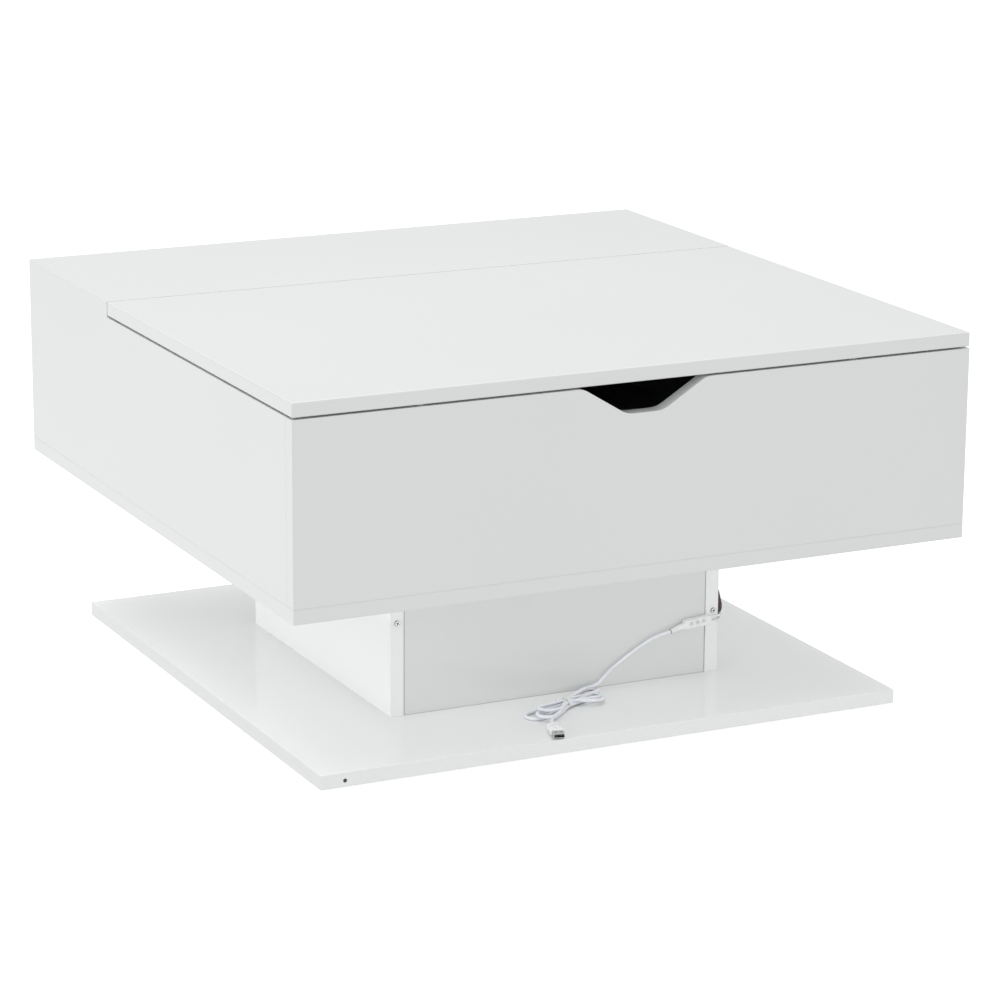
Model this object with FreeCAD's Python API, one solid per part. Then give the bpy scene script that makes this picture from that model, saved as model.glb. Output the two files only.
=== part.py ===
import FreeCAD, Part
import math
import os

# Lift top coffee table, high gloss boards on a square pedestal. Millimetres.
# X runs to the right, Y to the back and Z up. The origin is the centre of the footprint, on the floor.

Vec = FreeCAD.Vector
X_AXIS = Vec(1, 0, 0)
Y_AXIS = Vec(0, 1, 0)
Z_AXIS = Vec(0, 0, 1)

# ---------------------------------------------------------------- driving dimensions
BOX_WIDTH = 800.0          # the upper box, over its side panels
BOX_DEPTH = 800.0
BOARD = 16.0               # every board of the carcass
LID_THICKNESS = 16.0
LID_DEPTH = 533.0          # the lifting front part of the top
WALL_HEIGHT = 216.0        # from the bottom board's top to the table top
BASE_WIDTH = 700.0
BASE_DEPTH = 700.0
PEDESTAL_WIDTH = 408.0
PEDESTAL_FRONT = -204.0    # the pedestal's front and back faces in Y
PEDESTAL_BACK = 184.0
PEDESTAL_HEIGHT = 184.0
GLIDE_THICKNESS = 2.0
GLIDE_DIAMETER = 24.0
GLIDE_INSET = 40.0

LID_GAP = 2.0              # under the lid, over the front and side panels
LID_REAR_GAP = 1.2         # between the lid and the fixed rear top
TOP_EDGE_RADIUS = 1.6
BOARD_EDGE_RADIUS = 0.4
BOARD_PLAY = 0.1           # between boards that butt together
PEDESTAL_SEAM = 0.7        # beside the pedestal's front and back panels
PEDESTAL_INSET = 0.8       # how far those panels stand back
RAIL_HEIGHT = 60.0

SCOOP_TOP = 146.0          # finger scoop in the front panel's top edge
SCOOP_BOTTOM = 43.0
SCOOP_DEPTH = 31.5
SCOOP_CORNER = 30.0        # radius at the bottom corners
SCOOP_SHOULDER = 20.0      # radius where the slopes meet the panel's top edge
SCOOP_LIP = 10.0

# ---------------------------------------------------------------- fasteners
DOWEL_DIAMETER = 8.0
DOWEL_LENGTH = 30.0
DOWEL_IN_FACE = 12.0       # depth in the board that is drilled through its face
SCREW_SHANK = 5.0          # carcass screws
SCREW_HEAD = 10.0
SCREW_HEAD_HEIGHT = 3.0
SCREW_LENGTH = 50.0
SCREW_SOCKET = 4.0
CAM_DIAMETER = 15.0
CAM_DEPTH = 12.5
CAM_FROM_JOINT = 24.0
CAM_BOLT_DIAMETER = 6.0
CAM_BOLT_IN_PANEL = 11.0
HOLE_PLAY = 0.05           # radial play round dowels, screws and cams
SMALL_SHANK = 3.5          # bracket screws
SMALL_HEAD = 7.5
SMALL_HEAD_HEIGHT = 1.8
SMALL_LENGTH = 13.0
EDGE_SCREW_HEAD = 6.0      # screws in the pedestal's front strips
EDGE_SCREW_LENGTH = 25.0
EDGE_SCREW_LEFT_UP = 106.5  # over the base board
EDGE_SCREW_RIGHT_UP = 72.0
BASE_SCREW_INSET = 28.0    # small screw in the base board's front edge, from its left end
BASE_SCREW_HEAD = 4.4

BUMPER_DIAMETER = 10.0
BODY_GAP = 0.3             # between pieces of different bodies

# ---------------------------------------------------------------- lift mechanism
ARM_LENGTH = 260.0         # between pivot centres
ARM_WIDTH = 22.0
ARM_THICKNESS = 4.0
ARM_REST_ANGLE = 10.0      # above level, pointing back
ARM_TRAVEL = 95.0
PIVOT_SPREAD_Y = 60.0      # from the front pivots to the rear ones
PIVOT_SPREAD_Z = -30.0
LID_PIVOT_DROP = 21.0      # of the front lid pivot under the lid
LID_PIVOT_INSET = 18.0     # of the rear lid pivot from the lid's rear edge
PLATE = 3.0                # bracket sheet
LAYER_GAP = 0.5            # between plates and arms
PIVOT_DIAMETER = 8.0
PIVOT_PLAY = 0.08          # radial
RIVET_HEAD = 13.0
RIVET_HEAD_HEIGHT = 1.8
BRACKET_LIFT = 8.0         # of the base bracket over the bottom board
BRACKET_LIP = 10.0
FLANGE_WIDTH = 28.0        # lid bracket, flat under the lid
FLANGE_THICKNESS = 2.5
FLANGE_REACH = 230.0       # forward of the front lid pivot

STRUT_FOOT = 18.0          # of the strut's lower eye over the bottom board
STRUT_ANGLE = 85.0         # from the lower eye to the arm eye at rest, seen from the arm's pivot
CYLINDER_DIAMETER = 18.0
CYLINDER_WALL = 1.2
ROD_DIAMETER = 8.0
PISTON_PLAY = 0.3
EYE_DIAMETER = 15.0
EYE_WIDTH = 9.0
STUD_DIAMETER = 6.0
NECK = 14.0                # from an eye's centre to the tube's end
ROD_END_MARGIN = 3.0       # piston to the tube's closed end when folded
GUIDE_LENGTH = 8.0
EXPOSED_ROD = 30.0         # from the guide to the arm eye when folded
STRUT_OFFSET = 15.5        # from the arm's inner face to the strut's middle plane

# ---------------------------------------------------------------- light, controller and receiver
LED_WIDTH = 10.0
LED_THICKNESS = 2.0
LED_SETBACK = 12.0         # from the pedestal
LED_JOINT = 0.5            # between the strip's lengths
CONTROLLER_LENGTH = 34.0
CONTROLLER_HEIGHT = 10.0
CONTROLLER_DEPTH = 9.0
CONTROLLER_TILT = 5.3      # degrees, right end up
CONTROLLER_INSET = 29.5    # its middle from the pedestal's right side
CONTROLLER_UP = 62.3       # over the base board
CONTROLLER_PAD = 0.4       # adhesive between it and the panel
RELIEF_LENGTH = 17.0
BUTTON_DIAMETER = 4.2
BUTTON_PROUD = 0.8
BUTTON_SUNK = 2.0
BUTTON_TRAVEL = 0.5
BUTTON_PLAY = 0.2
BUTTON_PITCH = 7.9
RECEIVER_TOP = 94.6        # over the base board
RECEIVER_BOTTOM = 66.4
RECEIVER_PROUD = 5.2
RECEIVER_WIDTH = 12.0
LEAD_DIAMETER = 2.0

# ---------------------------------------------------------------- USB cord
CORD_DIAMETER = 3.8
# Places on the cord are measured from the pedestal's front right corner, on the base board.
# The stretch from the controller down to the hank, and the short tail from the hank to the plug.
CORD_LEAD = [
    (-63.0, -4.7, 55.2), (-76.5, -5.0, 53.6), (-93.0, -4.3, 47.2), (-111.0, -3.9, 37.4),
    (-128.0, -3.7, 27.0), (-141.5, -4.2, 18.0), (-150.5, -5.8, 10.4), (-159.5, -9.5, 6.2),
]
CORD_TAIL = [
    (-229.0, -65.5, 6.5), (-243.0, -78.0, 5.0), (-257.3, -89.4, 4.2), (-261.0, -101.5, 4.1),
]
HANK_CENTRE = (-214.0, -40.0)
HANK_ANGLE = 24.3
HANK_LIFT = 1.4
HANK_HEIGHT = 10.5
# The fans of folds at its two ends and the narrow waist at the tie: along the hank, across it.
HANK_OUTLINE = [
    (-6, 13), (-30, 12), (-60, 11), (-75, 7), (-82, -2), (-81, -12), (-74, -20), (-62, -22),
    (-40, -20), (-20, -15), (-6, -13), (6, -13), (18, -22), (30, -26), (39, -21), (42, -14),
    (49, -8), (54, -2), (60, 3), (63, 8), (59, 13), (45, 15), (25, 15), (6, 13),
]
TIE_WIDTH = 4.0
TIE_THICKNESS = 1.2
TIE_WAIST = 13.0
PLUG_HEADING = 252.96      # degrees, the way the plug's mouth points
PLUG_RELIEF = 9.0
PLUG_BODY = (24.0, 16.0, 8.0)
PLUG_SHELL = (12.0, 12.0, 4.5)
PLUG_WALL = 0.4
PLUG_TONGUE = (10.6, 10.8, 1.9)

# ---------------------------------------------------------------- worked out from the above
base_z0 = GLIDE_THICKNESS
base_top = base_z0 + BOARD
box_z0 = base_top + PEDESTAL_HEIGHT
floor_z = box_z0 + BOARD
table_top = floor_z + WALL_HEIGHT
lid_z0 = table_top - LID_THICKNESS
wall_top = lid_z0 - LID_GAP
half_w = BOX_WIDTH / 2
half_d = BOX_DEPTH / 2
inner_x = half_w - BOARD
lid_rear = -half_d + LID_DEPTH
rear_y0 = lid_rear + LID_REAR_GAP
ped_x = PEDESTAL_WIDTH / 2
ped_inner = ped_x - BOARD
corner = (ped_x, PEDESTAL_FRONT, base_top)   # where the fittings on the pedestal are measured from


# ---------------------------------------------------------------- shapes used many times
def box(x0, x1, y0, y1, z0, z1):
    return Part.makeBox(x1 - x0, y1 - y0, z1 - z0, Vec(x0, y0, z0))


def cylinder(diameter, length, start, direction):
    return Part.makeCylinder(diameter / 2, length, Vec(*start), direction)


def rounded_box(x0, x1, y0, y1, z0, z1, radius):
    """A board with all twelve edges eased."""
    shape = box(x0, x1, y0, y1, z0, z1)
    return shape.makeFillet(radius, shape.Edges)


def prism(points, direction):
    """A straight solid on the closed outline through points."""
    outline = Part.makePolygon([Vec(*p) for p in points] + [Vec(*points[0])])
    return Part.Face(outline).extrude(direction)


def plate_yz(points, x0, thickness):
    return prism([(x0, y, z) for y, z in points], Vec(thickness, 0, 0))


def mirrored(shape):
    return shape.mirror(Vec(0, 0, 0), X_AXIS)


def group(shapes):
    return Part.makeCompound(shapes)


def cut_all(shape, tools):
    return shape.cut(group(tools)) if tools else shape


def from_corner(points):
    """Places measured from the pedestal's front right corner, in the part's own frame."""
    return [tuple(c + p for c, p in zip(corner, point)) for point in points]


def tube_path(points):
    """Straight runs joined by tangent arcs as large as the runs allow, and the arcs' radii."""
    pts = [Vec(*p) for p in points]
    edges = []
    radii = []
    start = pts[0]
    for before, corner, after in zip(pts, pts[1:], pts[2:]):
        to_before = (before - corner).normalize()
        to_after = (after - corner).normalize()
        half_turn = (math.pi - to_before.getAngle(to_after)) / 2
        trim = 0.45 * min((corner - before).Length, (after - corner).Length)
        radius = trim / math.tan(half_turn)
        arc_start = corner + to_before * trim
        arc_end = corner + to_after * trim
        inward = (to_before + to_after).normalize()
        arc_mid = corner + inward * (radius / math.cos(half_turn) - radius)
        edges.append(Part.LineSegment(start, arc_start).toShape())
        edges.append(Part.Arc(arc_start, arc_mid, arc_end).toShape())
        radii.append(radius)
        start = arc_end
    edges.append(Part.LineSegment(start, pts[-1]).toShape())
    return Part.Wire(edges), radii


def tube(points, diameter, label):
    """A plain round cord along tube_path, with its radii and volume printed."""
    path, radii = tube_path(points)
    section = Part.Wire(Part.makeCircle(diameter / 2, Vec(*points[0]), Vec(*points[1]) - Vec(*points[0])))
    solid = path.makePipeShell([section], True, False)
    volume = math.pi * diameter ** 2 / 4 * path.Length
    print(label, "radii", [round(r, 1) for r in radii], "length", round(path.Length, 1),
          "volume", round(solid.Volume, 1), "section x length", round(volume, 1))
    return solid


# ---------------------------------------------------------------- fasteners
def dowel(start, direction):
    return cylinder(DOWEL_DIAMETER, DOWEL_LENGTH, start, direction)


def dowel_hole(start, direction):
    return cylinder(DOWEL_DIAMETER + 2 * HOLE_PLAY, DOWEL_LENGTH, start, direction)


def screw(start, direction, length=SCREW_LENGTH):
    """A flat-headed carcass screw. start is the middle of its head's face."""
    origin = Vec(*start)
    head = Part.makeCylinder(SCREW_HEAD / 2, SCREW_HEAD_HEIGHT, origin, direction)
    shank = Part.makeCylinder(SCREW_SHANK / 2, length, origin, direction)
    socket = Part.makeCylinder(SCREW_SOCKET / 2, SCREW_HEAD_HEIGHT, origin, direction)
    return head.fuse(shank).removeSplitter().cut(socket)


def screw_hole(start, direction):
    origin = Vec(*start)
    head = Part.makeCylinder(SCREW_HEAD / 2 + HOLE_PLAY, SCREW_HEAD_HEIGHT, origin, direction)
    shank = Part.makeCylinder(SCREW_SHANK / 2 + HOLE_PLAY, SCREW_LENGTH, origin, direction)
    return head.fuse(shank)


def cross_recess(middle, direction, head_diameter, depth):
    """The two crossed slots of a screw head. middle is on the head's face."""
    origin = Vec(*middle)
    side = direction.cross(Vec(0.3, 0.5, 0.8)).normalize()
    length = head_diameter * 0.62
    width = head_diameter * 0.17
    slots = []
    for turn in (0, 90):
        slot = Part.makeBox(length, width, depth, Vec(-length / 2, -width / 2, 0))
        slot.rotate(Vec(0, 0, 0), Z_AXIS, turn)
        facing = FreeCAD.Placement(origin, FreeCAD.Rotation(side, Vec(0, 0, 0), direction, "ZXY"))
        slot.Placement = facing.multiply(slot.Placement)
        slots.append(slot)
    return group(slots)


def pan_screw(seat, direction, head_diameter, length):
    """A pan-headed screw. seat is where its head bears, direction the way it goes in."""
    origin = Vec(*seat)
    head = Part.makeCylinder(head_diameter / 2, SMALL_HEAD_HEIGHT, origin, direction * -1)
    rim = [e for e in head.Edges if abs((e.CenterOfMass - origin).dot(direction) + SMALL_HEAD_HEIGHT) < 0.01]
    head = head.makeFillet(SMALL_HEAD_HEIGHT * 0.45, rim)
    shank = Part.makeCylinder(SMALL_SHANK / 2, length, origin, direction)
    recess = cross_recess(origin - direction * SMALL_HEAD_HEIGHT, direction, head_diameter, 1.1)
    return head.fuse(shank).removeSplitter().cut(recess)


def pan_hole(seat, direction, length):
    return Part.makeCylinder(SMALL_SHANK / 2 + HOLE_PLAY, length, Vec(*seat), direction)


# ---------------------------------------------------------------- where the carcass is drilled
wall_mid = half_w - BOARD / 2
front_mid = -half_d + BOARD / 2
back_mid = half_d - BOARD / 2
side_stations = (-0.36 * BOX_DEPTH, 0.0, 0.36 * BOX_DEPTH)
end_stations = (-0.38 * BOX_WIDTH, 0.0, 0.38 * BOX_WIDTH)
side_screws = (-0.24 * BOX_DEPTH, 0.24 * BOX_DEPTH)
end_screws = (-0.24 * BOX_WIDTH, 0.24 * BOX_WIDTH)
ped_front_mid = PEDESTAL_FRONT + PEDESTAL_INSET + BOARD / 2
ped_back_mid = PEDESTAL_BACK - PEDESTAL_INSET - BOARD / 2
ped_side_mid = ped_x - BOARD / 2
ped_mid_y = (PEDESTAL_FRONT + PEDESTAL_BACK) / 2
ped_station_reach = 0.28 * (PEDESTAL_BACK - PEDESTAL_FRONT)
ped_stations_y = (ped_mid_y - ped_station_reach, ped_mid_y + ped_station_reach)
ped_stations_x = (-0.25 * PEDESTAL_WIDTH, 0.25 * PEDESTAL_WIDTH)
cam_heights = (floor_z + 0.2 * WALL_HEIGHT, floor_z + 0.72 * WALL_HEIGHT)


def wall_points(x_places, y_places):
    """Places along the side walls and along the front and back walls."""
    points = [(side * wall_mid, y) for side in (-1, 1) for y in y_places]
    return points + [(x, y) for y in (front_mid, back_mid) for x in x_places]


def pedestal_points():
    points = [(side * ped_side_mid, y) for side in (-1, 1) for y in ped_stations_y]
    return points + [(x, y) for y in (ped_front_mid, ped_back_mid) for x in ped_stations_x]


dowels = []
for px, py in wall_points(end_stations, side_stations):
    dowels.append(((px, py, floor_z - DOWEL_IN_FACE), Z_AXIS))
for side in (-1, 1):
    for py in (ped_front_mid, ped_back_mid):
        for share in (0.25, 0.75):
            start = (side * (ped_inner + DOWEL_IN_FACE), py, base_top + share * PEDESTAL_HEIGHT)
            dowels.append((start, X_AXIS * -side))
    for py in (rear_y0 + 0.25 * (half_d - rear_y0), rear_y0 + 0.75 * (half_d - rear_y0)):
        dowels.append(((side * (inner_x + DOWEL_IN_FACE), py, table_top - BOARD / 2), X_AXIS * -side))
    rail_end = (side * (inner_x + DOWEL_IN_FACE), rear_y0 + BOARD, lid_z0 - RAIL_HEIGHT / 2)
    dowels.append((rail_end, X_AXIS * -side))

screws = []
for px, py in wall_points(end_screws, side_screws):
    screws.append(((px, py, box_z0), Z_AXIS))
for px, py in pedestal_points():
    screws.append(((px, py, floor_z), Z_AXIS * -1))
    screws.append(((px, py, base_z0), Z_AXIS))

cam_places = []
for side in (-1, 1):
    for joint_y, into in ((-half_d + BOARD, 1), (half_d - BOARD, -1)):
        for z in cam_heights:
            cam_places.append((side, joint_y, into, z))


def cam_lock(side, joint_y, into, z, play=0.0):
    start = (side * (inner_x - play), joint_y + into * CAM_FROM_JOINT, z)
    disc = cylinder(CAM_DIAMETER + 2 * play, CAM_DEPTH + play, start, X_AXIS * side)
    if play:
        return disc
    slot = box(-1.2, 1.2, -5.0, 5.0, -2.0, 2.0)
    slot.rotate(Vec(0, 0, 0), X_AXIS, 35)
    slot.translate(Vec(*start))
    return disc.cut(slot)


def cam_bolt(side, joint_y, into, z, play=0.0):
    reach = CAM_FROM_JOINT - CAM_DIAMETER / 2 - 0.2
    start = (side * wall_mid, joint_y - into * CAM_BOLT_IN_PANEL, z)
    return cylinder(CAM_BOLT_DIAMETER + 2 * play, CAM_BOLT_IN_PANEL + reach, start, Y_AXIS * into)


def drilled(board, extra=()):
    """The board with every dowel, screw and cam hole that reaches it."""
    tools = [dowel_hole(*d) for d in dowels] + [screw_hole(*s) for s in screws]
    tools += [cam_lock(*c, play=HOLE_PLAY) for c in cam_places]
    tools += [cam_bolt(*c, play=HOLE_PLAY) for c in cam_places]
    tools += list(extra)
    near = [t for t in tools if t.BoundBox.intersect(board.BoundBox)]
    return cut_all(board, near)


# ---------------------------------------------------------------- boards
def base_board():
    board = rounded_box(-BASE_WIDTH / 2, BASE_WIDTH / 2, -BASE_DEPTH / 2, BASE_DEPTH / 2,
                        base_z0, base_top, BOARD_EDGE_RADIUS)
    hole = base_edge_screw(HOLE_PLAY)
    return drilled(board, [hole])


def base_edge_screw(play=0.0):
    """A small screw whose head is level with the base board's front edge."""
    start = (-BASE_WIDTH / 2 + BASE_SCREW_INSET, -BASE_DEPTH / 2, base_z0 + BOARD * 0.45)
    head = cylinder(BASE_SCREW_HEAD + 2 * play, 1.5, start, Y_AXIS)
    shank = cylinder(BASE_SCREW_HEAD / 2 + 2 * play, 14.0, start, Y_AXIS)
    shape = head.fuse(shank).removeSplitter()
    if play:
        return shape
    return shape.cut(cross_recess(start, Y_AXIS, BASE_SCREW_HEAD, 0.9))


def glides():
    pads = []
    for gx in (-1, 0, 1):
        for gy in (-1, 0, 1):
            if gx or gy:
                place = (gx * (BASE_WIDTH / 2 - GLIDE_INSET), gy * (BASE_DEPTH / 2 - GLIDE_INSET), 0)
                pads.append(cylinder(GLIDE_DIAMETER, GLIDE_THICKNESS, place, Z_AXIS))
    return group(pads)


def pedestal_side(side, extra=()):
    x0, x1 = sorted((side * ped_inner, side * ped_x))
    board = rounded_box(x0, x1, PEDESTAL_FRONT, PEDESTAL_BACK, base_top, box_z0, BOARD_EDGE_RADIUS / 2)
    return drilled(board, extra)


def pedestal_end(middle_y):
    width = ped_inner - PEDESTAL_SEAM
    board = rounded_box(-width, width, middle_y - BOARD / 2, middle_y + BOARD / 2,
                        base_top, box_z0, BOARD_EDGE_RADIUS / 2)
    return drilled(board)


def bottom_board():
    return drilled(rounded_box(-half_w, half_w, -half_d, half_d, box_z0, floor_z, BOARD_EDGE_RADIUS))


def side_panel(side, extra=()):
    """A side wall, lower under the lid and up to the table top beside the fixed rear top."""
    profile = [
        (-half_d + BOARD + BOARD_PLAY, floor_z), (half_d, floor_z), (half_d, table_top),
        (rear_y0, table_top), (rear_y0, wall_top), (-half_d + BOARD + BOARD_PLAY, wall_top),
    ]
    x0 = inner_x if side > 0 else -half_w
    board = plate_yz(profile, x0, BOARD)
    return drilled(board.makeFillet(BOARD_EDGE_RADIUS / 2, board.Edges), extra)


def scoop():
    """The finger scoop: a flat bottom and sloping sides, rounded into the bottom and the panel's top edge."""
    top = wall_top
    low = wall_top - SCOOP_DEPTH
    slope = math.atan2(SCOOP_DEPTH, (SCOOP_TOP - SCOOP_BOTTOM) / 2)
    upper = SCOOP_SHOULDER * math.tan(slope / 2)
    lower = SCOOP_CORNER * math.tan(slope / 2)
    edge_x = SCOOP_TOP / 2 + upper
    floor_x = SCOOP_BOTTOM / 2 - lower
    shoulder = [
        (edge_x, top),
        (edge_x - SCOOP_SHOULDER * math.sin(slope / 2), top - SCOOP_SHOULDER * (1 - math.cos(slope / 2))),
        (edge_x - SCOOP_SHOULDER * math.sin(slope), top - SCOOP_SHOULDER * (1 - math.cos(slope))),
    ]
    corner_arc = [
        (floor_x + SCOOP_CORNER * math.sin(slope), low + SCOOP_CORNER * (1 - math.cos(slope))),
        (floor_x + SCOOP_CORNER * math.sin(slope / 2), low + SCOOP_CORNER * (1 - math.cos(slope / 2))),
        (floor_x, low),
    ]
    y = -half_d - 1
    edges = []
    for side in (-1, 1):
        upper_arc = [Vec(side * x, y, z) for x, z in shoulder]
        lower_arc = [Vec(side * x, y, z) for x, z in corner_arc]
        rim = Vec(side * edge_x, y, top + SCOOP_LIP)
        edges += [Part.makeLine(rim, upper_arc[0]), Part.Arc(*upper_arc).toShape()]
        edges += [Part.makeLine(upper_arc[2], lower_arc[0]), Part.Arc(*lower_arc).toShape()]
    edges.append(Part.makeLine(Vec(-floor_x, y, low), Vec(floor_x, y, low)))
    edges.append(Part.makeLine(Vec(-edge_x, y, top + SCOOP_LIP), Vec(edge_x, y, top + SCOOP_LIP)))
    outline = Part.Wire(Part.sortEdges(edges)[0])
    return Part.Face(outline).extrude(Vec(0, BOARD + 2, 0))


def front_panel():
    board = rounded_box(-half_w, half_w, -half_d, -half_d + BOARD, floor_z, wall_top, BOARD_EDGE_RADIUS)
    return drilled(board, [scoop()])


def back_panel():
    board = box(-inner_x + BOARD_PLAY, inner_x - BOARD_PLAY, half_d - BOARD, half_d,
                floor_z, table_top - BOARD - BOARD_PLAY)
    return drilled(board)


def rear_top_panel():
    board = rounded_box(-inner_x + BOARD_PLAY, inner_x - BOARD_PLAY, rear_y0, half_d,
                        table_top - BOARD, table_top, BOARD_EDGE_RADIUS / 2)
    return drilled(board)


def rear_rail():
    y0 = rear_y0 + BOARD / 2
    return drilled(box(-inner_x + BOARD_PLAY, inner_x - BOARD_PLAY, y0, y0 + BOARD,
                       lid_z0 - RAIL_HEIGHT, table_top - BOARD - BOARD_PLAY))


def lid_panel(holes):
    board = rounded_box(-half_w, half_w, -half_d, lid_rear, lid_z0, table_top, TOP_EDGE_RADIUS)
    return cut_all(board, holes)


def lid_bumpers():
    height = LID_GAP - BODY_GAP
    places = [(side * wall_mid, y) for side in (-1, 1) for y in (-0.42 * BOX_DEPTH, lid_rear - 40.0)]
    places += [(x, front_mid) for x in (-0.32 * BOX_WIDTH, 0.32 * BOX_WIDTH)]
    return group([cylinder(BUMPER_DIAMETER, height, (x, y, wall_top), Z_AXIS) for x, y in places])


# ---------------------------------------------------------------- lift mechanism, right side
rest = math.radians(ARM_REST_ANGLE)
arm_dy = ARM_LENGTH * math.cos(rest)
arm_dz = ARM_LENGTH * math.sin(rest)
lid_pivots = [(lid_rear - LID_PIVOT_INSET - PIVOT_SPREAD_Y, lid_z0 - LID_PIVOT_DROP)]
lid_pivots.append((lid_pivots[0][0] + PIVOT_SPREAD_Y, lid_pivots[0][1] + PIVOT_SPREAD_Z))
base_pivots = [(y - arm_dy, z - arm_dz) for y, z in lid_pivots]

plate_x = inner_x - PLATE                             # base bracket, against the side panel
arm_x = plate_x - LAYER_GAP - ARM_THICKNESS           # arms, inside it
lid_plate_x = arm_x - LAYER_GAP - PLATE               # lid bracket, inside the arms
strut_x = arm_x - STRUT_OFFSET                        # the gas strut's middle plane

strut_foot_z = floor_z + STRUT_FOOT
foot_angle = math.radians(ARM_REST_ANGLE - STRUT_ANGLE)
strut_radius = (base_pivots[0][1] - strut_foot_z) / -math.sin(foot_angle)
strut_foot = (base_pivots[0][0] + strut_radius * math.cos(foot_angle), strut_foot_z)
strut_head = (base_pivots[0][0] + strut_radius * math.cos(rest),
              base_pivots[0][1] + strut_radius * math.sin(rest))
folded_length = math.hypot(strut_head[0] - strut_foot[0], strut_head[1] - strut_foot[1])
strut_axis = Vec(0, strut_head[0] - strut_foot[0], strut_head[1] - strut_foot[1]) / folded_length


def pivot_hole(place, x0, x1, diameter=PIVOT_DIAMETER):
    return cylinder(diameter + 2 * PIVOT_PLAY, x1 - x0, (x0, place[0], place[1]), X_AXIS)


def arm(place, tip, stud_place=None):
    """A flat bar with round ends and a hole at each pivot."""
    length = math.hypot(tip[0] - place[0], tip[1] - place[1])
    bar = box(arm_x, arm_x + ARM_THICKNESS, 0, length, -ARM_WIDTH / 2, ARM_WIDTH / 2)
    ends = [cylinder(ARM_WIDTH, ARM_THICKNESS, (arm_x, y, 0), X_AXIS) for y in (0, length)]
    shape = bar.multiFuse(ends).removeSplitter()
    shape.rotate(Vec(0, 0, 0), X_AXIS, ARM_REST_ANGLE)
    shape.translate(Vec(0, place[0], place[1]))
    holes = [pivot_hole(p, arm_x - 1, arm_x + ARM_THICKNESS + 1) for p in (place, tip)]
    if stud_place:
        holes.append(cylinder(STUD_DIAMETER + 2 * HOLE_PLAY, ARM_THICKNESS + 2,
                              (arm_x - 1, stud_place[0], stud_place[1]), X_AXIS))
    return cut_all(shape, holes)


def base_bracket_screws():
    """Places in Y and Z, clear over the tips of the carcass screws that come up through the bottom board."""
    front, rear = base_pivots
    low = box_z0 + SCREW_LENGTH + 6.0
    return [(front[0] - 23.0, low), (rear[0] + 26.0, low),
            (front[0] - 24.0, front[1] - 24.0), (rear[0] - 4.0, rear[1] - 22.0)]


def base_bracket():
    """A steel plate screwed to the side panel, with a bent lip along its foot."""
    front, rear = base_pivots
    foot = floor_z + BRACKET_LIFT
    outline = [
        (front[0] - 37, foot), (rear[0] + 42, foot), (rear[0] + 42, foot + 36), (rear[0] + 18, rear[1] + 2),
        (rear[0] + 10, rear[1] + 15), (front[0] + 16, front[1] + 15), (front[0] - 14, front[1] + 18),
        (front[0] - 37, front[1] - 4),
    ]
    plate = plate_yz(outline, plate_x, PLATE)
    upright = [e for e in plate.Edges if abs(e.BoundBox.XLength - PLATE) < 0.01]
    plate = plate.makeFillet(6.0, [e for e in upright if e.CenterOfMass.z > foot + 1])
    lip = box(plate_x - BRACKET_LIP, plate_x + PLATE, front[0] - 37, rear[0] + 42,
              foot, foot + FLANGE_THICKNESS)
    holes = [pivot_hole(p, plate_x - 1, inner_x + 1) for p in base_pivots]
    holes += [pan_hole((plate_x - 1, y, z), X_AXIS, PLATE + 2) for y, z in base_bracket_screws()]
    stud_hole = (plate_x - 1, strut_foot[0], strut_foot[1])
    holes.append(cylinder(STUD_DIAMETER + 2 * HOLE_PLAY, PLATE + 2, stud_hole, X_AXIS))
    return cut_all(plate.fuse(lip).removeSplitter(), holes)


def lid_screw_places():
    front_y = lid_pivots[0][0] - FLANGE_REACH
    rear_y = lid_pivots[1][0] - 6.0
    x = lid_plate_x - FLANGE_WIDTH / 2
    count = 5
    return [(x, front_y + 14.0 + i * (rear_y - front_y - 14.0) / (count - 1)) for i in range(count)]


def lid_bracket():
    """A steel angle under the lid, deep at the pivots."""
    front, rear = lid_pivots
    top = lid_z0
    outline = [
        (front[0] - 150, top), (rear[0] + 13, top), (rear[0] + 13, rear[1] - 4), (rear[0] + 4, rear[1] - 13),
        (rear[0] - 10, rear[1] - 13), (front[0] - 16, front[1] - 13), (front[0] - 60, top - 16),
        (front[0] - 150, top - 14),
    ]
    plate = plate_yz(outline, lid_plate_x, PLATE)
    flange = box(lid_plate_x - FLANGE_WIDTH, lid_plate_x + PLATE, front[0] - FLANGE_REACH, rear[0] + 13,
                 top - FLANGE_THICKNESS, top)
    holes = [pivot_hole(p, lid_plate_x - 1, lid_plate_x + PLATE + 1) for p in lid_pivots]
    holes += [pan_hole((x, y, top - FLANGE_THICKNESS - 1), Z_AXIS, FLANGE_THICKNESS + 2)
              for x, y in lid_screw_places()]
    return cut_all(plate.fuse(flange).removeSplitter(), holes)


def rivet(place, x0, x1, head_inside=True, head_outside=True):
    """A shouldered rivet from x0 to x1, headed where there is room."""
    shape = cylinder(PIVOT_DIAMETER, x1 - x0, (x0, place[0], place[1]), X_AXIS)
    if head_inside:
        shape = shape.fuse(cylinder(RIVET_HEAD, RIVET_HEAD_HEIGHT, (x0, place[0], place[1]), X_AXIS * -1))
    if head_outside:
        far_head = cylinder(RIVET_HEAD, RIVET_HEAD_HEIGHT - LAYER_GAP, (x1, place[0], place[1]), X_AXIS)
        shape = shape.fuse(far_head)
    return shape.removeSplitter()


def base_rivets():
    return [rivet(p, arm_x - 0.2, inner_x, head_outside=False) for p in base_pivots]


def lid_rivets():
    return [rivet(p, lid_plate_x, arm_x + ARM_THICKNESS + 0.2) for p in lid_pivots]


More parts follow.
